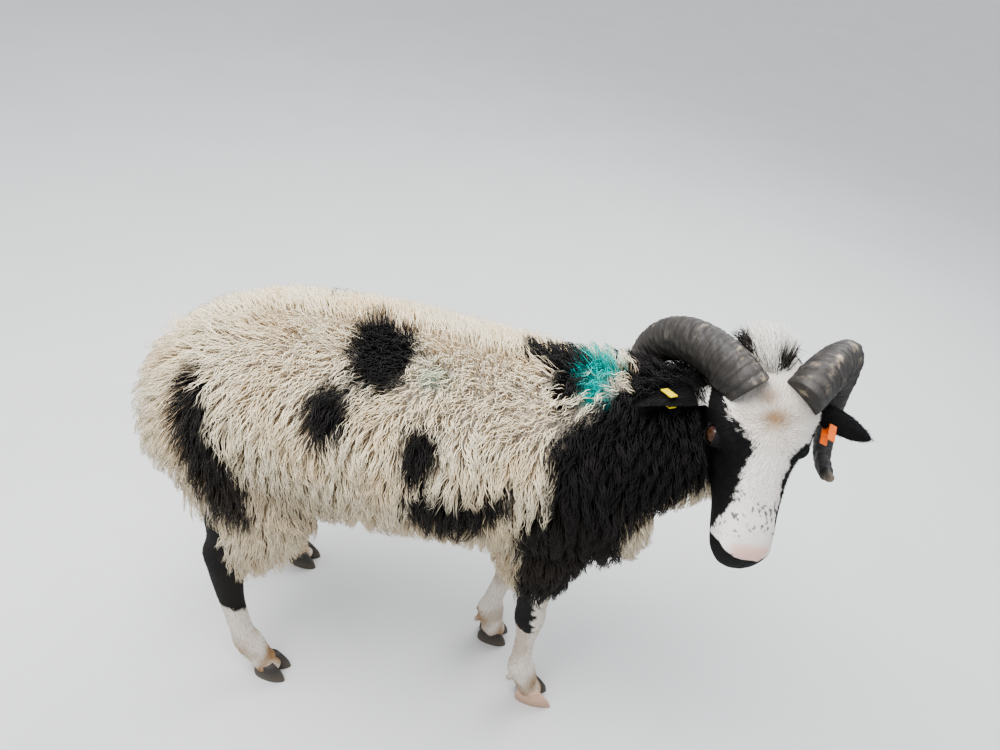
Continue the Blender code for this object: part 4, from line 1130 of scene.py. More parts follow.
def run_of(roots, size, t):
    """The plain run of a strand: up out of the skin, then over into its lie."""
    up = size.rise[:, None] * (1 - (1 - t) ** 1.7)
    forth = np.sqrt(np.maximum(size.length**2 - size.rise**2, 0))[:, None] * t**1.35
    start = roots.places - ROOT_DEPTH * roots.normals
    return start[:, None] + up[..., None] * roots.normals[:, None] + forth[..., None] * roots.lies[:, None]


def gathered(roots, size, middles, middle_size, rings, chance):
    """Paths of strands, drawn towards the waving path at the middle of their lock."""
    t = steps_of(rings)
    tree = tree_of(middles.places)
    lock = np.array([tree.find(place)[1] for place in roots.places])
    beats = chance.uniform(0, 2 * math.pi, len(middles.places))
    drawn = run_of(middles, middle_size, t) + wave_of(middles, middle_size, t, beats, 0.5)
    reach = chance.uniform(0.78, 1.06, len(lock))
    size = size._replace(length=size.length * reach, rise=size.rise * reach**0.5)
    run = run_of(roots, size, t)
    share = (size.gather[:, None] * t**1.2)[..., None]
    run = run + share * (drawn[lock] - run)
    return run + wave_of(roots, size, t, chance.uniform(0, 2 * math.pi, len(lock)), 0.8), lock


def loose(roots, size, rings, chance):
    """Paths of hairs that aren't gathered into locks."""
    t = steps_of(rings)
    phase = chance.uniform(0, 2 * math.pi, len(roots.places))
    return run_of(roots, size, t) + wave_of(roots, size, t, phase, 0.3)


def tubes(paths, normals, width, shape):
    """Rings of tapered tubes along paths."""
    sides, flat, fullness = shape
    t = steps_of(paths.shape[1] - 1)
    forward = unit(np.gradient(paths, axis=1))
    beside = unit(np.cross(forward, normals[:, None]))
    above = np.cross(beside, forward)
    turn = around(sides) - math.pi / 2
    ring = np.cos(turn)[:, None] * beside[..., None, :] + flat * np.sin(turn)[:, None] * above[..., None, :]
    wide = width[:, None] * (1 - t**fullness) ** 0.8
    return (paths[:, :, None] + 0.5 * wide[..., None, None] * ring)[:, :-1]


def tube_faces(rings, sides):
    """The triangles of one tube, closed at its root and pointed at its tip."""
    faces = [(0, side + 1, side) for side in range(1, sides - 1)]
    for ring in range(rings - 1):
        for side in range(sides):
            a, b = ring * sides + side, ring * sides + (side + 1) % sides
            faces += [(a, b, b + sides), (a, b + sides, a + sides)]
    last = (rings - 1) * sides
    faces += [(last + side, last + (side + 1) % sides, rings * sides) for side in range(sides)]
    return np.array(faces)


def strand_mesh(name, strands):
    """One mesh of tapered tubes, and the corners of its faces."""
    count, rings, sides = len(strands.paths), strands.paths.shape[1] - 1, STRAND_SHAPE[0]
    body = tubes(strands.paths, strands.normals, strands.widths, STRAND_SHAPE)
    points = np.concatenate([body.reshape(count, rings * sides, 3), strands.paths[:, -1:]], axis=1)
    first = np.arange(count)[:, None, None] * (rings * sides + 1)
    faces = (tube_faces(rings, sides)[None] + first).reshape(-1, 3)
    return mesh_object(name, points.reshape(-1, 3), faces), faces


def map_for_baking(obj, uv, faces):
    layer = obj.data.uv_layers.new(name="OFBake")
    layer.data.foreach_set("uv", uv.reshape(-1, 2)[faces.ravel()].astype(np.float32).ravel())


def coat_piece(name, strands, look, material, chance):
    """One mesh of strands over the skin, with its markings and its map for baking."""
    obj, faces = strand_mesh(name, strands)
    count, rings, sides = len(strands.paths), strands.paths.shape[1] - 1, STRAND_SHAPE[0]
    t = steps_of(rings)
    rows = np.append(np.repeat(np.arange(rings), sides), rings)
    set_marks(obj, coat_marks(strands, look, chance)[:, rows].reshape(-1, 4), np.tile(t[rows], count))
    beside = np.append(np.tile(np.arange(sides) / (sides - 1) - 0.5, rings), 0.0)
    spot = chart_of(strands.places, strands.parts)[:, None]
    map_for_baking(obj, spot + UV_PATCH * np.stack([beside, t[rows] - 0.5], axis=1), faces)
    obj.data.materials.append(material)
    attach(obj, "root")


def coat_marks(strands, look, chance):
    """Markings along each strand, read a little beside it; a share of wisps keep one colour to the tip."""
    count, steps, _ = strands.paths.shape
    wisps, blur = look
    places = strands.paths + blur * chance.normal(size=(count, 1, 3))
    marks = marks_at(places.reshape(-1, 3), np.repeat(strands.parts, steps)).reshape(count, steps, 4)
    whole = marks[:, int(0.75 * steps)][:, None]
    marks = np.where(chance.random((count, 1, 1)) < wisps, whole, marks)
    marks[..., 3] = strands.tones[:, None]
    return marks


def coat(name, roots, paths, widths, tones, look, material, chance):
    """Splits strands into pieces that each stay under MOST_TRIANGLES triangles."""
    strands = Strands(roots.places, roots.normals, roots.parts, paths, widths, tones)
    most = MOST_TRIANGLES // len(tube_faces(paths.shape[1] - 1, STRAND_SHAPE[0]))
    pieces = math.ceil(len(paths) / most)
    for index, chosen in enumerate(np.array_split(np.argsort(roots.places[:, 0]), pieces)):
        piece = name if pieces == 1 else f"{name}_{index + 1}"
        coat_piece(piece, rows_of(strands, chosen), look, material, chance)


def room_for_wool(points):
    """Share of its length that wool may have at each place, so that horns, ears and tags stay clear."""
    clear = [obj for obj in bpy.data.objects if obj.name.startswith(KEPT_CLEAR)]
    tree = tree_of([vertex.co for obj in clear for vertex in obj.data.vertices])
    away = np.array([tree.find(point)[2] for point in points - ORIGIN])
    return 0.50 + 0.50 * smooth(away, 0.002, 0.020)


def clear_tree():
    """The surfaces that no wool may cover, as one tree."""
    points, faces = [], []
    for obj in bpy.data.objects:
        if obj.name.startswith(KEPT_CLEAR):
            faces += [[len(points) + index for index in face.vertices] for face in obj.data.polygons]
            points += [vertex.co for vertex in obj.data.vertices]
    return BVHTree.FromPolygons(points, faces)


def cleared(roots, paths):
    """Ends each strand before it comes near, or passes over, what no wool may cover."""
    tree = clear_tree()
    steps = paths.shape[1]
    ends = np.full(len(paths), steps - 1.0)
    for index in np.flatnonzero(roots.places[:, 0] > CLEAR_FROM):
        inward = Vector(-roots.normals[index])
        for step in range(1, steps):
            point = Vector(paths[index, step] - ORIGIN)
            if tree.find_nearest(point)[3] < CLEAR or tree.ray_cast(point, inward, WOOL_REACH)[0]:
                ends[index] = max(step - 1, 0.4)
                break
    place = np.arange(steps) * (ends / (steps - 1))[:, None]
    low = np.minimum(place.astype(int), steps - 2)
    share = (place - low)[..., None]
    row = np.arange(len(paths))[:, None]
    return paths[row, low] * (1 - share) + paths[row, low + 1] * share


class Graph:
    """Short calls that add nodes to the tree of a material or of a node group."""

    def __init__(self, tree):
        self.tree = tree

    def put(self, socket, value):
        """Links a socket to another, or sets it; a colour may come without its alpha."""
        if isinstance(value, bpy.types.NodeSocket):
            self.tree.links.new(value, socket)
        else:
            socket.default_value = (*value[:3], 1.0) if socket.type == "RGBA" else value

    def add(self, kind, inputs=(), **settings):
        """Adds a node, sets it up, and links or sets its inputs."""
        made = self.tree.nodes.new(f"ShaderNode{kind}")
        for key, value in settings.items():
            setattr(made, key, value)
        for key, value in dict(inputs).items():
            self.put(made.inputs[key], value)
        return made

    def calc(self, operation, *values, clamp=False):
        return self.add("Math", enumerate(values), operation=operation, use_clamp=clamp).outputs[0]

    def line(self, value, gain, start, clamp=False):
        """A value times a gain, plus a start."""
        return self.calc("MULTIPLY_ADD", value, gain, start, clamp=clamp)

    def blend(self, share, first, second, kind="MIX"):
        """Mixes two colours by a share."""
        inputs = {0: share, 6: first, 7: second}
        return self.add("Mix", inputs, data_type="RGBA", blend_type=kind).outputs[2]

    def lit(self, colour, light):
        """A colour multiplied by a grey."""
        return self.blend(1.0, colour, self.blend(light, (0, 0, 0), (1, 1, 1)), "MULTIPLY")

    def place(self):
        return self.add("TexCoord").outputs["Object"]

    def stretched(self, place, scale):
        return self.add("Mapping", {"Vector": place, "Scale": scale}).outputs["Vector"]

    def noise(self, place, scale, detail):
        return self.add("TexNoise", {"Vector": place, "Scale": scale, "Detail": detail}).outputs["Fac"]

    def stored(self, name):
        return self.add("Attribute", attribute_name=name).outputs["Fac"]

    def marks(self):
        """The four stored markings."""
        marks = self.add("Attribute", attribute_name="marks")
        split = self.add("SeparateColor", {"Color": marks.outputs["Color"]})
        return (*split.outputs, marks.outputs["Alpha"])

    def relief(self, height, strength, distance):
        inputs = {"Height": height, "Strength": strength, "Distance": distance}
        return self.add("Bump", inputs).outputs["Normal"]

    def shade(self, inputs):
        """Links or sets inputs of the material's shader."""
        for title, value in inputs.items():
            self.put(self.tree.nodes["Principled BSDF"].inputs[title], value)


def new_material(name):
    """A material and its graph."""
    made = bpy.data.materials.new(name)
    made.use_nodes = True
    return made, Graph(made.node_tree)


def coat_group():
    """Colour of wool and hair from the stored markings, darker and warmer towards the root: partly the coat's
    own colour there, partly painted shade deep in the coat.
    """
    tree = bpy.data.node_groups.get("coat colour")
    if tree:
        return tree
    tree = bpy.data.node_groups.new("coat colour", "ShaderNodeTree")
    for title in ("White", "White Root", "Warm", "Black", "Black Root", "Spray", "Soil"):
        tree.interface.new_socket(title, in_out="INPUT", socket_type="NodeSocketColor")
    for title, kind in (("Color", "NodeSocketColor"), ("Height", "NodeSocketFloat")):
        tree.interface.new_socket(title, in_out="OUTPUT", socket_type=kind)
    given, made = tree.nodes.new("NodeGroupInput").outputs, tree.nodes.new("NodeGroupOutput").inputs
    graph = Graph(tree)
    dark, spray, soil_and_shade, tone = graph.marks()
    own = graph.add("UVMap", uv_map="OFBake").outputs["UV"]
    fibre = graph.noise(graph.stretched(own, (2600.0, 600.0, 1.0)), 1.0, 2.0)
    # Towards the root the colour goes to the root colours, which are partly painted shade deep in the coat
    tip = graph.line(graph.stored("along"), 1.9, 0.0, clamp=True)
    warm = graph.line(graph.noise(graph.place(), 14.0, 3.0), 3.0, -1.2, clamp=True)
    white = graph.blend(tip, given["White Root"], graph.blend(warm, given["White"], given["Warm"]))
    black = graph.blend(graph.calc("MULTIPLY", tip, tone), given["Black Root"], given["Black"])
    colour = graph.blend(soil_and_shade, graph.blend(dark, white, black), given["Soil"])
    colour = graph.blend(spray, colour, given["Spray"])
    light = graph.line(fibre, 0.30, graph.line(tone, 0.12, 0.76))
    graph.put(made["Color"], graph.lit(colour, light))
    graph.put(made["Height"], fibre)
    return tree


def coat_material(name, colours, roughness, sheen, bump):
    made, graph = new_material(name)
    group = graph.add("Group", node_tree=coat_group())
    for title, colour in colours.items():
        graph.put(group.inputs[title], colour)
    graph.shade({
        "Base Color": group.outputs["Color"],
        "Normal": graph.relief(group.outputs["Height"], bump, 0.001),
        "Roughness": roughness, "Sheen Weight": sheen, "Specular IOR Level": 0.25,
    })
    return made


# In each set of colours the root colours are partly the coat's own colour, partly painted shade deep in the
# coat
def wool_colours(sheep):
    return {
        "White": sheep.white_wool, "White Root": sheep.white_root, "Warm": sheep.warm_wool,
        "Black": sheep.black_wool, "Black Root": sheep.black_root, "Spray": sheep.marker_spray,
        "Soil": sheep.soil_and_shade,
    }


def face_colours(sheep):
    return {
        **wool_colours(sheep), "White": sheep.face_white, "Warm": sheep.face_white, "Soil": sheep.face_tan,
        "White Root": (0.50, 0.45, 0.39), "Black": (0.010, 0.009, 0.010), "Black Root": (0.004, 0.004, 0.004),
    }


def knot_colours(sheep):
    whites = {"White": (0.95, 0.93, 0.88), "Warm": (0.90, 0.86, 0.78), "White Root": (0.66, 0.62, 0.55)}
    return {**wool_colours(sheep), **whites}


def leg_colours(sheep):
    return {
        **wool_colours(sheep), "White": sheep.leg_cream, "Warm": (0.60, 0.47, 0.32),
        "White Root": (0.34, 0.26, 0.17), "Soil": (0.20, 0.13, 0.065),
    }


def size_property(name, description, default):
    return FloatProperty(name=name, description=description, default=default, unit="LENGTH", precision=4)


def colour_property(name, description, default):
    return FloatVectorProperty(
        name=name, description=description, default=default, size=3, subtype="COLOR", min=0.0, max=1.0
    )


class SheepSettings(bpy.types.PropertyGroup):
    """Sizes and colours of the sheep's coat and horn."""

    lock_spacing: size_property("Lock spacing", "Distance between the middles of two locks of fleece", 0.0120)
    strand_spacing: size_property("Strand spacing", "Distance between the roots of two strands", 0.0036)
    strand_width: size_property("Strand width", "Width of a strand of wool", 0.0021)
    back_length: size_property("Back wool", "Length of the wool on the back", 0.036)
    flank_length: size_property("Flank wool", "Length of the wool on flanks and thighs", 0.050)
    strand_rings: IntProperty(name="Strand steps", description="Steps along a strand", default=5, min=3)
    face_hair: size_property("Face hair", "Length of the hair on the face", 0.0085)
    leg_hair: size_property("Leg hair", "Length of the hair on the legs", 0.0080)
    white_wool: colour_property("White wool", "Tips of the white wool", (0.98, 0.89, 0.69))
    # The root colours darken the wool deep in the fleece: partly its own colour, partly painted shade
    white_root: colour_property("White root", "White wool deep in the fleece", (0.76, 0.60, 0.40))
    warm_wool: colour_property("Warm wool", "Yellowed patches of the white wool", (0.92, 0.75, 0.50))
    black_wool: colour_property("Black wool", "Tips of the black wool", (0.020, 0.016, 0.015))
    black_root: colour_property("Black root", "Black wool deep in the fleece", (0.008, 0.007, 0.007))
    marker_spray: colour_property("Marker spray", "Stock marker on the withers", (0.005, 0.44, 0.40))
    # The tint of the lower flanks and hem: soil, and painted shade of the lower body
    soil_and_shade: colour_property("Soil", "Dirt on the lower flanks and hem", (0.46, 0.33, 0.20))
    face_white: colour_property("White face", "Hair of the blaze", (0.84, 0.80, 0.74))
    face_tan: colour_property("Tan face", "Tan hair on the forehead", (0.30, 0.18, 0.085))
    leg_cream: colour_property("Leg cream", "Pale hair of the legs", (0.56, 0.45, 0.31))
    horn_grey: colour_property("Horn", "Main colour of the horns", (0.070, 0.062, 0.056))
    horn_pale: colour_property("Pale horn", "Flaked ridge and tips of the horns", (0.42, 0.34, 0.24))


def skin_object():
    return bpy.data.objects["skin"]


def skin_mesh():
    """All forms under the coat as one mesh of triangles, with eyelids, nostrils and mouth cut in."""
    pieces = [loft("form", rings) for rings, _ in forms()]
    skin = combine(pieces[0], "UNION", pieces[1:])
    soften(skin, *JOIN_SOFTENED)
    cutters = eye_cutters(-1) + eye_cutters(1)
    cutters += [nostril_cutter(-1), nostril_cutter(1), mouth_cutter()]
    combine(skin, "DIFFERENCE", cutters)
    soften(skin, *CUT_SOFTENED)
    skin.name = skin.data.name = "skin"
    skin.data.shade_smooth()
    shell = bmesh.new()
    shell.from_mesh(skin.data)
    bmesh.ops.triangulate(shell, faces=shell.faces)
    shell.to_mesh(skin.data)
    shell.free()
    return skin


def mark_skin(skin):
    """Stores on the skin which part it is, its markings, and where it is bare."""
    points = points_of(skin)
    parts = part_of(points)
    marks = marks_at(points, parts)
    marks[:, 3] = 0.5
    # Under the wool and the topknot the skin takes the root colour, which partly paints the shade deep in the
    # coat
    set_marks(skin, marks, np.where(np.isin(parts, WOOLLY + (KNOT_PART,)), 0.0, 0.5))
    store(skin, "part", "INT", parts)
    store(skin, "bare", "FLOAT", np.where(parts == HEAD_PART, bare_at(to_head(points)), 0.0))


class SHEEP_OT_skin(bpy.types.Operator):
    """Builds one skin over the trunk, neck, head, ears, tail and legs"""

    bl_idname = "sheep.skin"
    bl_label = "Skin"

    def execute(self, context):
        skin = skin_mesh()
        mark_skin(skin)
        skin.data.materials.clear()
        skin.data.materials.append(skin_material(context.scene.sheep))
        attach(skin, "root")
        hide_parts("torso", "neck", "head", "tail", "ear_left", "ear_right")
        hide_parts("leg_fore_left", "leg_fore_right", "leg_hind_left", "leg_hind_right")
        return {"FINISHED"}


def skin_material(sheep):
    made = coat_material("skin", face_colours(sheep), 0.75, 0.0, 0.0)
    graph = Graph(made.node_tree)
    hairs = graph.noise(graph.stretched(graph.place(), (900.0, 900.0, 260.0)), 1.0, 3.0)
    bare = graph.stored("bare")
    coat_colour = made.node_tree.nodes["Principled BSDF"].inputs["Base Color"].links[0].from_socket
    colour = graph.lit(coat_colour, graph.line(hairs, 0.8, 0.55))
    graph.shade({
        "Base Color": graph.blend(bare, colour, (0.78, 0.52, 0.45)),
        "Normal": graph.relief(hairs, 0.7, 0.0012),
        "Roughness": graph.line(bare, -0.30, 0.75),
    })
    return made


class SHEEP_OT_fleece(bpy.types.Operator):
    """Covers trunk, neck, tail and thighs with overlapping wavy locks"""

    bl_idname = "sheep.fleece"
    bl_label = "Fleece"

    def execute(self, context):
        sheep = context.scene.sheep
        chance = np.random.default_rng(SEED)
        middles = scattered(skin_object(), WOOLLY, sheep.lock_spacing, 0.20, chance)
        roots = scattered(skin_object(), WOOLLY, sheep.strand_spacing, 0.05, chance)
        size = fleece_size(sheep, roots, chance)
        size = size._replace(wave=0.60 * size.wave, turns=1.3 * size.turns)
        middle_size = fleece_size(sheep, middles, chance)
        paths, lock = gathered(roots, size, middles, middle_size, sheep.strand_rings, chance)
        paths = cleared(roots, paths)
        tone = 0.5 * chance.random(len(middles.places))[lock] + 0.5 * chance.random(len(lock))
        wool = coat_material("wool", wool_colours(sheep), 0.9, 0.08, 0.5)
        coat("fleece", roots, paths, size.width, tone, (0.6, 0.0022), wool, chance)
        return {"FINISHED"}


def fleece_size(sheep, roots, chance):
    """Sizes of the wool: short and open on the back, long and gathered on flanks and rump."""
    count = len(roots.places)
    parts = roots.parts
    flat = smooth(roots.normals[:, 2], 0.20, 0.80) * (parts == TRUNK_PART)
    behind = smooth(-roots.places[:, 0], 0.24, 0.34)
    throat = throat_at(roots.places) * (parts == NECK_PART)
    length = sheep.flank_length * (1 - flat) + sheep.back_length * flat + 0.012 * behind
    neck = 0.66 + 0.30 * throat
    shorter = np.select([parts == NECK_PART, np.isin(parts, (TAIL_PART, ELBOW_PART))], [neck, 0.70], 1.0)
    rise = np.select([parts == TRUNK_PART, np.isin(parts, (NECK_PART, THIGH_PART))], [0.028, 0.024], 0.015)
    under = smooth(-roots.normals[:, 2], 0.3, 0.9) * (1 - throat)
    room = room_for_wool(roots.places)
    open_ended = flat * (1 - behind)
    length = length * shorter * room * chance.uniform(0.88, 1.12, count)
    return Strand(
        length=length,
        rise=(rise * (1 - 0.25 * under) + 0.010 * throat) * room * chance.uniform(0.86, 1.02, count),
        wave=(0.0034 + 0.0006 * open_ended) * chance.uniform(0.6, 1.4, count),
        turns=length / 0.026,
        width=sheep.strand_width * chance.uniform(0.7, 1.2, count),
        gather=np.clip((0.78 - 0.38 * open_ended) * chance.uniform(0.7, 1.1, count), 0, 1),
    )


def hair_size(length, hair, chance):
    """Sizes of hair that lies nearly flat."""
    count = len(length)
    return Strand(
        length=length * chance.uniform(0.75, 1.25, count),
        rise=hair.rise * length,
        wave=np.full(count, hair.wave),
        turns=np.full(count, 0.8),
        width=hair.width * chance.uniform(0.7, 1.2, count),
        gather=np.zeros(count),
    )


def hair_roots(name, parts, chance):
    return scattered(skin_object(), parts, HAIRS[name].apart, HAIRS[name].stray, chance)


def hair_coat(name, roots, length, material, chance):
    """Sets hair that isn't gathered into locks, each strand of one colour to its tip."""
    hair = HAIRS[name]
    size = hair_size(length, hair, chance)
    paths = loose(roots, size, hair.steps, chance)
    if hair.clears:
        paths = cleared(roots, paths)
    coat(name, roots, paths, size.width, chance.random(len(paths)), (1.0, hair.blur), material, chance)


class SHEEP_OT_topknot(bpy.types.Operator):
    """Sets the loose white wool between the horns"""

    bl_idname = "sheep.topknot"
    bl_label = "Topknot"

    def execute(self, context):
        chance = np.random.default_rng(SEED + 1)
        roots = hair_roots("topknot", (KNOT_PART,), chance)
        wool = coat_material("topknot", knot_colours(context.scene.sheep), 0.85, 0.08, 0.3)
        hair_coat("topknot", roots, np.full(len(roots.places), KNOT_LENGTH), wool, chance)
        return {"FINISHED"}


class SHEEP_OT_face_hair(bpy.types.Operator):
    """Sets short hair over the face and ears"""

    bl_idname = "sheep.face_hair"
    bl_label = "Face Hair"

    def execute(self, context):
        sheep = context.scene.sheep
        chance = np.random.default_rng(SEED + 2)
        roots = hair_roots("face_hair", (HEAD_PART, EAR_PART), chance)
        places = to_head(roots.places)
        eye = np.linalg.norm(places[:, None] - eye_middles(), axis=2).min(axis=1)
        haired = (bare_at(places) < 0.45) & (lips_at(places) < 0.5) & (eye > EYE_RADIUS + LID + 0.001)
        roots, places = rows_of(roots, haired), places[haired]
        length = sheep.face_hair * (1 - 0.62 * smooth(places[:, 0], 0.10, 0.19))
        tuft = (roots.parts == EAR_PART) & (blob(places, EAR_TUFT) > 0)
        hair = coat_material("face_hair", face_colours(sheep), 0.8, 0.0, 0.1)
        hair_coat("face_hair", roots, np.where(tuft, TUFT_LENGTH, length), hair, chance)
        return {"FINISHED"}


class SHEEP_OT_leg_hair(bpy.types.Operator):
    """Sets short hair over the legs"""

    bl_idname = "sheep.leg_hair"
    bl_label = "Leg Hair"

    def execute(self, context):
        sheep = context.scene.sheep
        chance = np.random.default_rng(SEED + 3)
        roots = hair_roots("leg_hair", (LEG_PART,), chance)
        roots = rows_of(roots, roots.places[:, 2] > 0.024)
        hair = coat_material("leg_hair", leg_colours(sheep), 0.8, 0.0, 0.1)
        hair_coat("leg_hair", roots, np.full(len(roots.places), sheep.leg_hair), hair, chance)
        return {"FINISHED"}


def growth_rings(length, chance):
    """How high the rings of yearly growth stand at places along the horn."""
    knots = np.cumsum(chance.uniform(*HORN_RING_GAPS, HORN_RINGS))
    place = np.interp(length, np.concatenate([[0], knots]), np.arange(HORN_RINGS + 1))
    return np.abs(np.sin(math.pi * place)) ** 0.6


def horn_surface():
    """The left horn's rings in the head's frame, how far along it each is, and its height of growth."""
    turns = np.radians(np.linspace(HORN_BACK, HORN_TURN, HORN_STEPS))
    share = np.clip(turns / math.radians(HORN_TURN), 0, 1)
    path, out = horn_path(turns)
    forward = unit(np.gradient(path, axis=0))
    out = unit(out - (out * forward).sum(axis=1, keepdims=True) * forward)
    side = np.cross(forward, out)
    angle = around(HORN_SIDES)
    length = np.cumsum(np.append(0, np.linalg.norm(np.diff(path, axis=0), axis=1)))
    growth = growth_rings(length, np.random.default_rng(SEED + 4))
    wave = (HORN_WAVE * (1 - share) ** 0.6 * (growth - 0.6))[:, None]
    lines = np.sin(length[:, None] * HORN_LINES + 1.3 * np.sin(angle * 2))
    bulge = wave * (0.75 + 0.25 * np.cos(angle)) + HORN_WRINKLE * (1 - 0.8 * share[:, None]) * lines
    places, wides, thicks = np.array(HORN_SECTION).T
    wide, thick = (np.interp(share, places, row)[:, None] + bulge for row in (wides, thicks))
    ridge = 1 + HORN_RIDGE * np.maximum(np.cos(angle), 0) ** 3
    rings = path[:, None] + (wide * np.cos(angle) * ridge)[..., None] * out[:, None]
    rings = rings + (thick * power(np.sin(angle), 0.9))[..., None] * side[:, None]
    rough = HORN_ROUGH * ripple(rings.reshape(-1, 3), 0.006, 21)
    rings += unit(rings - path[:, None]) * rough.reshape(HORN_STEPS, HORN_SIDES, 1)
    return rings, share, growth


def mark_horn(obj, share, growth, right):
    """Stores how near the ridge each point is, how far along the horn, and its height of growth."""
    crest = np.maximum(np.cos(around(HORN_SIDES)), 0) ** 2
    marks = np.zeros((HORN_STEPS, HORN_SIDES, 4))
    marks[..., 0] = crest[::-1] if right else crest
    marks[..., 1] = share[:, None]
    marks[..., 2] = growth[:, None]
    ends = np.vstack([marks.reshape(-1, 4), marks[0, :1], marks[-1, :1]])
    set_marks(obj, ends, np.append(np.repeat(share, HORN_SIDES), [0, 1]))


class SHEEP_OT_horns(bpy.types.Operator):
    """Builds the two curled, ringed horns"""

    bl_idname = "sheep.horns"
    bl_label = "Horns"

    def execute(self, context):
        horn = horn_material(context.scene.sheep)
        rings, share, growth = horn_surface()
        for right, name in ((False, "horn_left_shell"), (True, "horn_right_shell")):
            obj = loft(name, from_head(handed(rings, right)))
            mark_horn(obj, share, growth, right)
            obj.data.materials.append(horn)
            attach(obj, "root")
            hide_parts("horn_right" if right else "horn_left")
        return {"FINISHED"}


def torn_ridge(graph, broad, crest, share):
    """Where the ridge of a horn has flaked and cracked, most of all near its base."""
    torn = graph.stretched(graph.place(), (150.0, 60.0, 110.0))
    cracks = graph.add("TexVoronoi", {"Vector": torn, "Scale": 1.0}, feature="DISTANCE_TO_EDGE")
    cracks = graph.line(cracks.outputs["Distance"], -28.0, 0.8, clamp=True)
    cracked = graph.calc("MULTIPLY", cracks, graph.line(broad, 4.0, -2.0, clamp=True))
    flaky = graph.calc("MAXIMUM", graph.line(broad, 5.0, -2.9, clamp=True), cracked)
    near_base = graph.line(share, -2.2, 1.5, clamp=True)
    return graph.calc("MULTIPLY", graph.calc("MULTIPLY", flaky, crest), near_base)


def horn_material(sheep):
    made, graph = new_material("horn")
    crest, share, ring, _ = graph.marks()
    broad, fine = graph.noise(graph.place(), 60.0, 5.0), graph.noise(graph.place(), 500.0, 3.0)
    beat = graph.line(graph.stored("along"), 620.0, graph.calc("MULTIPLY", broad, 9.0))
    lines = graph.line(graph.calc("SINE", beat), 0.5, 0.5)
    tip = graph.line(share, 12.0, -11.2, clamp=True)
    pale = graph.calc("MAXIMUM", torn_ridge(graph, broad, crest, share), graph.calc("MULTIPLY", tip, 0.5))
    worn = graph.line(crest, 0.5, graph.line(broad, 1.4, -0.5), clamp=True)
    colour = graph.blend(worn, (0.030, 0.027, 0.025), sheep.horn_grey)
    colour = graph.blend(graph.calc("MULTIPLY", lines, 0.40), colour, (0.014, 0.012, 0.011))
    grooves = graph.calc("MULTIPLY", graph.calc("SUBTRACT", 1.0, ring), 0.6)
    colour = graph.blend(grooves, colour, (0.016, 0.013, 0.011))
    height = graph.calc("ADD", broad, graph.calc("MULTIPLY", fine, 0.5))
    graph.shade({
        "Base Color": graph.blend(pale, colour, sheep.horn_pale),
        "Normal": graph.relief(height, 0.6, 0.0015),
        "Roughness": graph.line(fine, 0.4, 0.35),
    })
    return made


def eyeball(name, side):
    """One eye, with where its iris and its level pupil are."""
    bpy.ops.mesh.primitive_uv_sphere_add(segments=96, ring_count=64, radius=EYE_RADIUS * 0.985)
    obj = bpy.context.object
    obj.name = obj.data.name = name
    points = np.array([v.co for v in obj.data.vertices])
    gaze = unit(GAZE)
    ahead = unit(points) @ gaze
    points = points + unit(points) * (CORNEA * smooth(ahead, 0.84, 0.97))[:, None]
    level = unit(np.cross((0, 0, 1), gaze))
    u, v = points @ level / EYE_RADIUS, points[:, 2] / EYE_RADIUS
    marks = np.zeros((len(points), 4))
    marks[:, 0] = smooth(ahead, 0.70, 0.76)
    marks[:, 1] = smooth(1 - np.hypot(u / PUPIL[0], v / PUPIL[1]), -0.12, 0.12)
    placed = from_head(face_turned((points + EYE) * (1, side, 1))) - ORIGIN
    for vertex, point in zip(obj.data.vertices, placed):
        vertex.co = point
    if side < 0:
        obj.data.flip_normals()
    set_marks(obj, marks, ahead)
    obj.data.shade_smooth()
    return obj


class SHEEP_OT_eyes(bpy.types.Operator):
    """Builds the eyes, with their level pupils"""

    bl_idname = "sheep.eyes"
    bl_label = "Eyes"

    def execute(self, context):
        glass = eye_material()
        for side, name in ((1, "eye_left"), (-1, "eye_right")):
            obj = eyeball(f"{name}_ball", side)
            obj.data.materials.append(glass)
            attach(obj, "root")
            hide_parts(name)
        return {"FINISHED"}


def eye_material():
    made, graph = new_material("eye")
    iris, pupil, _, _ = graph.marks()
    ray = graph.add("TexNoise", {"Scale": 300.0, "Detail": 3.0}).outputs["Fac"]
    brown = graph.blend(ray, (0.022, 0.010, 0.005), (0.060, 0.028, 0.012))
    colour = graph.blend(iris, (0.060, 0.030, 0.026), brown)
    graph.shade({
        "Base Color": graph.blend(pupil, colour, (0.003, 0.003, 0.004)),
        "Roughness": 0.12, "Specular IOR Level": 0.25, "Coat Weight": 0.25, "Coat Roughness": 0.03,
    })
    return made


class SHEEP_OT_claws(bpy.types.Operator):
    """Builds the eight claws"""

    bl_idname = "sheep.claws"
    bl_label = "Claws"

    def execute(self, context):
        horn = claw_material()
        for name, foot, right, _, _ in feet():
            for outer, place in ((True, "outer"), (False, "inner")):
                overgrown = name == "fore_right" and outer
                rings = claw_rings(foot, outer, CLAW_OVERGROWN if overgrown else 0.0, *NETS["claw"])
                obj = loft(f"claw_{name}_{place}_shell", handed(rings, right))
                points = points_of(obj)
                marks = np.zeros((len(points), 4))
                marks[:, 0] = overgrown
                marks[:, 1] = smooth(points[:, 2], 0.0, 0.030)
                set_marks(obj, marks, marks[:, 1])
                obj.data.materials.append(horn)
                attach(obj, "root")
                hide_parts(f"claw_{name}_{place}")
        return {"FINISHED"}


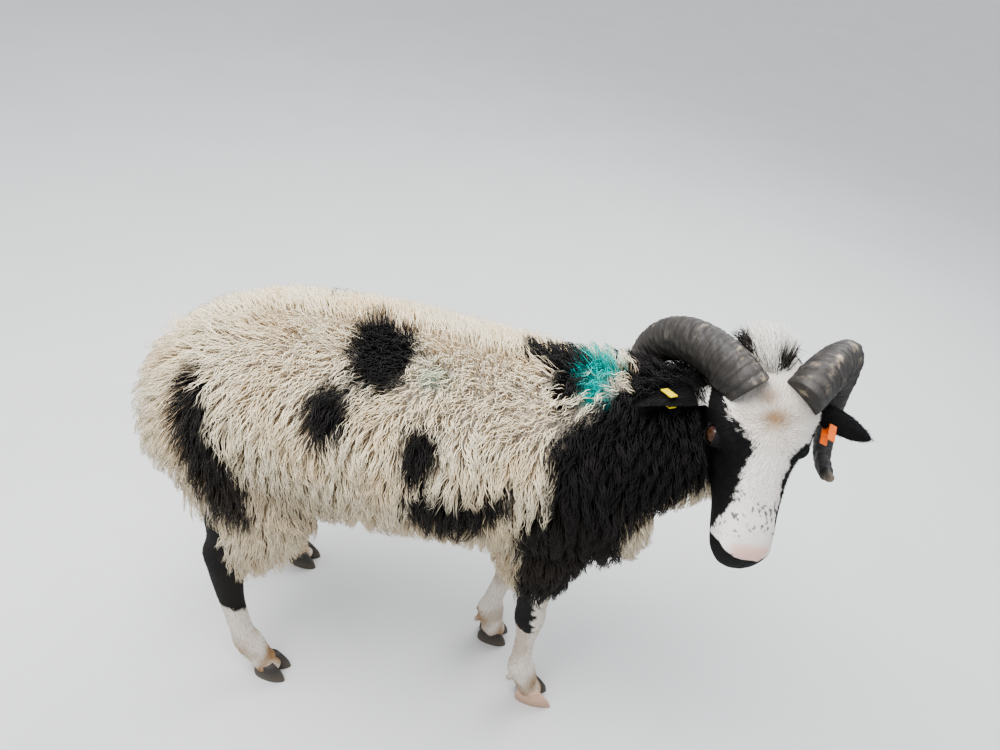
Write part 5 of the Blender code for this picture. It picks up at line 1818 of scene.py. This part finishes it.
def claw_material():
    made, graph = new_material("claw")
    pale, high, _, _ = graph.marks()
    rings = graph.noise(graph.stretched(graph.place(), (40.0, 40.0, 500.0)), 1.0, 2.0)
    dark = graph.blend(rings, (0.012, 0.010, 0.009), (0.055, 0.045, 0.036))
    light = graph.blend(rings, (0.40, 0.24, 0.17), (0.62, 0.42, 0.31))
    dusty = graph.line(high, -0.35, 0.30)
    graph.shade({
        "Base Color": graph.blend(dusty, graph.blend(pale, dark, light), (0.20, 0.16, 0.11)),
        "Normal": graph.relief(rings, 0.5, 0.0006),
        "Roughness": graph.line(rings, 0.3, 0.40),
    })
    return made


def tag_frame(right):
    """Where a tag stands in its ear: along the ear, across it and out of its face."""
    share, offset, _ = TAG_RIGHT if right else TAG_LEFT
    middle, along, face, across = ear_axes(right, share)
    axes = Matrix(np.stack([along, across, face], axis=1).tolist()).to_4x4()
    local = Matrix.Translation(middle + offset * across - TAG_DROP * face) @ axes
    side = Matrix.Scale(-1.0, 4, (0.0, 1.0, 0.0)) if right else Matrix.Identity(4)
    return Matrix.Translation(-Vector(ORIGIN)) @ head_matrix() @ side @ local


def tag_plates(name, hang):
    """A tag's two plates and the pin between them, with rounded edges."""
    pieces = []
    for height in (-1, 1):
        lift = height * (TAG_ROOM + TAG_SIZE[2] / 2)
        bpy.ops.mesh.primitive_cube_add(size=1.0, location=(0.0, hang, lift), scale=TAG_SIZE)
        bpy.ops.object.transform_apply(location=True, rotation=True, scale=True)
        pieces.append(bpy.context.object)
    pin = 2 * TAG_ROOM + TAG_SIZE[2] * 1.8
    bpy.ops.mesh.primitive_cylinder_add(vertices=24, radius=TAG_PIN, depth=pin)
    bpy.ops.object.select_all(action="DESELECT")
    for piece in (*pieces, bpy.context.object):
        piece.select_set(True)
    bpy.context.view_layer.objects.active = pieces[0]
    bpy.ops.object.join()
    tag = bpy.context.object
    tag.name = tag.data.name = name
    bevel = tag.modifiers.new("bevel", "BEVEL")
    bevel.width, bevel.segments = TAG_ROUNDING
    bpy.ops.object.modifier_apply(modifier=bevel.name)
    return tag


class SHEEP_OT_ear_tags(bpy.types.Operator):
    """Builds the two-plate tag in each ear"""

    bl_idname = "sheep.ear_tags"
    bl_label = "Ear Tags"

    def execute(self, context):
        for right, name, colour in ((True, "ear_tag_right", TAG_YELLOW), (False, "ear_tag_left", TAG_ORANGE)):
            tag = tag_plates(f"{name}_plates", (TAG_RIGHT if right else TAG_LEFT)[2])
            tag.data.transform(tag_frame(right))
            if right:
                tag.data.flip_normals()
            bpy.ops.object.shade_smooth_by_angle(angle=math.radians(40))
            tag.data.materials.append(tag_material(name, colour))
            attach(tag, "root")
            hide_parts(name)
        return {"FINISHED"}


def tag_material(name, colour):
    made, graph = new_material(name)
    grime = graph.noise(graph.place(), 260.0, 4.0)
    worn = graph.line(grime, 2.0, -0.9, clamp=True)
    dirty = [part * 0.55 for part in colour]
    graph.shade({"Base Color": graph.blend(worn, colour, dirty), "Roughness": graph.line(grime, 0.3, 0.30)})
    return made


def floor_material():
    made, graph = new_material("floor")
    mottle = graph.noise(graph.place(), 3.0, 4.0)
    graph.shade({"Base Color": graph.blend(mottle, (0.58, 0.58, 0.57), (0.64, 0.64, 0.63)), "Roughness": 0.8})
    return made


def light_stage(scene):
    """A pale sky, and two soft lamps that face the sheep."""
    scene.world = bpy.data.worlds.new("sky")
    scene.world.use_nodes = True
    sky = scene.world.node_tree.nodes["Background"].inputs
    sky["Color"].default_value, sky["Strength"].default_value = (0.90, 0.94, 1.0, 1.0), 0.95
    scene.view_settings.look = "AgX - Medium High Contrast"
    for name, place, energy, size in LAMPS:
        data = bpy.data.lights.new(name, "AREA")
        data.energy, data.size = energy, size
        lamp = bpy.data.objects.new(name, data)
        lamp.location = place
        lamp.rotation_euler = (Vector(LAMPS_FACE) - lamp.location).to_track_quat("-Z", "Y").to_euler()
        scene.collection.objects.link(lamp)


def set_camera(scene):
    data = bpy.data.cameras.new("camera")
    data.sensor_width, data.lens = CAMERA_LENS
    camera = bpy.data.objects.new("camera", data)
    axes = Matrix(np.array(CAMERA_AXES).T.tolist()).to_4x4()
    camera.matrix_world = Matrix.Translation(Vector(CAMERA_PLACE) - Vector(ORIGIN)) @ axes
    scene.collection.objects.link(camera)
    scene.camera = camera


class SHEEP_OT_stage(bpy.types.Operator):
    """Sets the pale floor, the soft light and the camera of the photograph"""

    bl_idname = "sheep.stage"
    bl_label = "Stage"

    def execute(self, context):
        bpy.ops.mesh.primitive_plane_add(size=60.0, location=(0.0, 0.0, -0.0005))
        floor = context.object
        floor.name = "floor"
        floor.data.materials.append(floor_material())
        light_stage(context.scene)
        set_camera(context.scene)
        return {"FINISHED"}


class SHEEP_PT_panel(bpy.types.Panel):
    """Lists the steps that build the sheep"""

    bl_idname = "SHEEP_PT_panel"
    bl_label = "Jacob Sheep"
    bl_space_type = "VIEW_3D"
    bl_region_type = "UI"
    bl_category = "Sheep"

    def draw(self, context):
        for key in SheepSettings.__annotations__:
            self.layout.prop(context.scene.sheep, key)
        for operator in OPERATORS:
            self.layout.operator(operator.bl_idname)


OPERATORS = (
    SHEEP_OT_skin, SHEEP_OT_horns, SHEEP_OT_eyes, SHEEP_OT_claws, SHEEP_OT_ear_tags,
    SHEEP_OT_fleece, SHEEP_OT_topknot, SHEEP_OT_face_hair, SHEEP_OT_leg_hair, SHEEP_OT_stage,
)
CLASSES = (SheepSettings, *OPERATORS, SHEEP_PT_panel)


def register():
    for each in CLASSES:
        bpy.utils.register_class(each)
    bpy.types.Scene.sheep = PointerProperty(type=SheepSettings)


def unregister():
    del bpy.types.Scene.sheep
    for each in reversed(CLASSES):
        bpy.utils.unregister_class(each)


def main():
    register()
    for operator in OPERATORS:
        getattr(bpy.ops.sheep, operator.bl_idname.split(".")[1])()


if __name__ == "__main__":
    main()
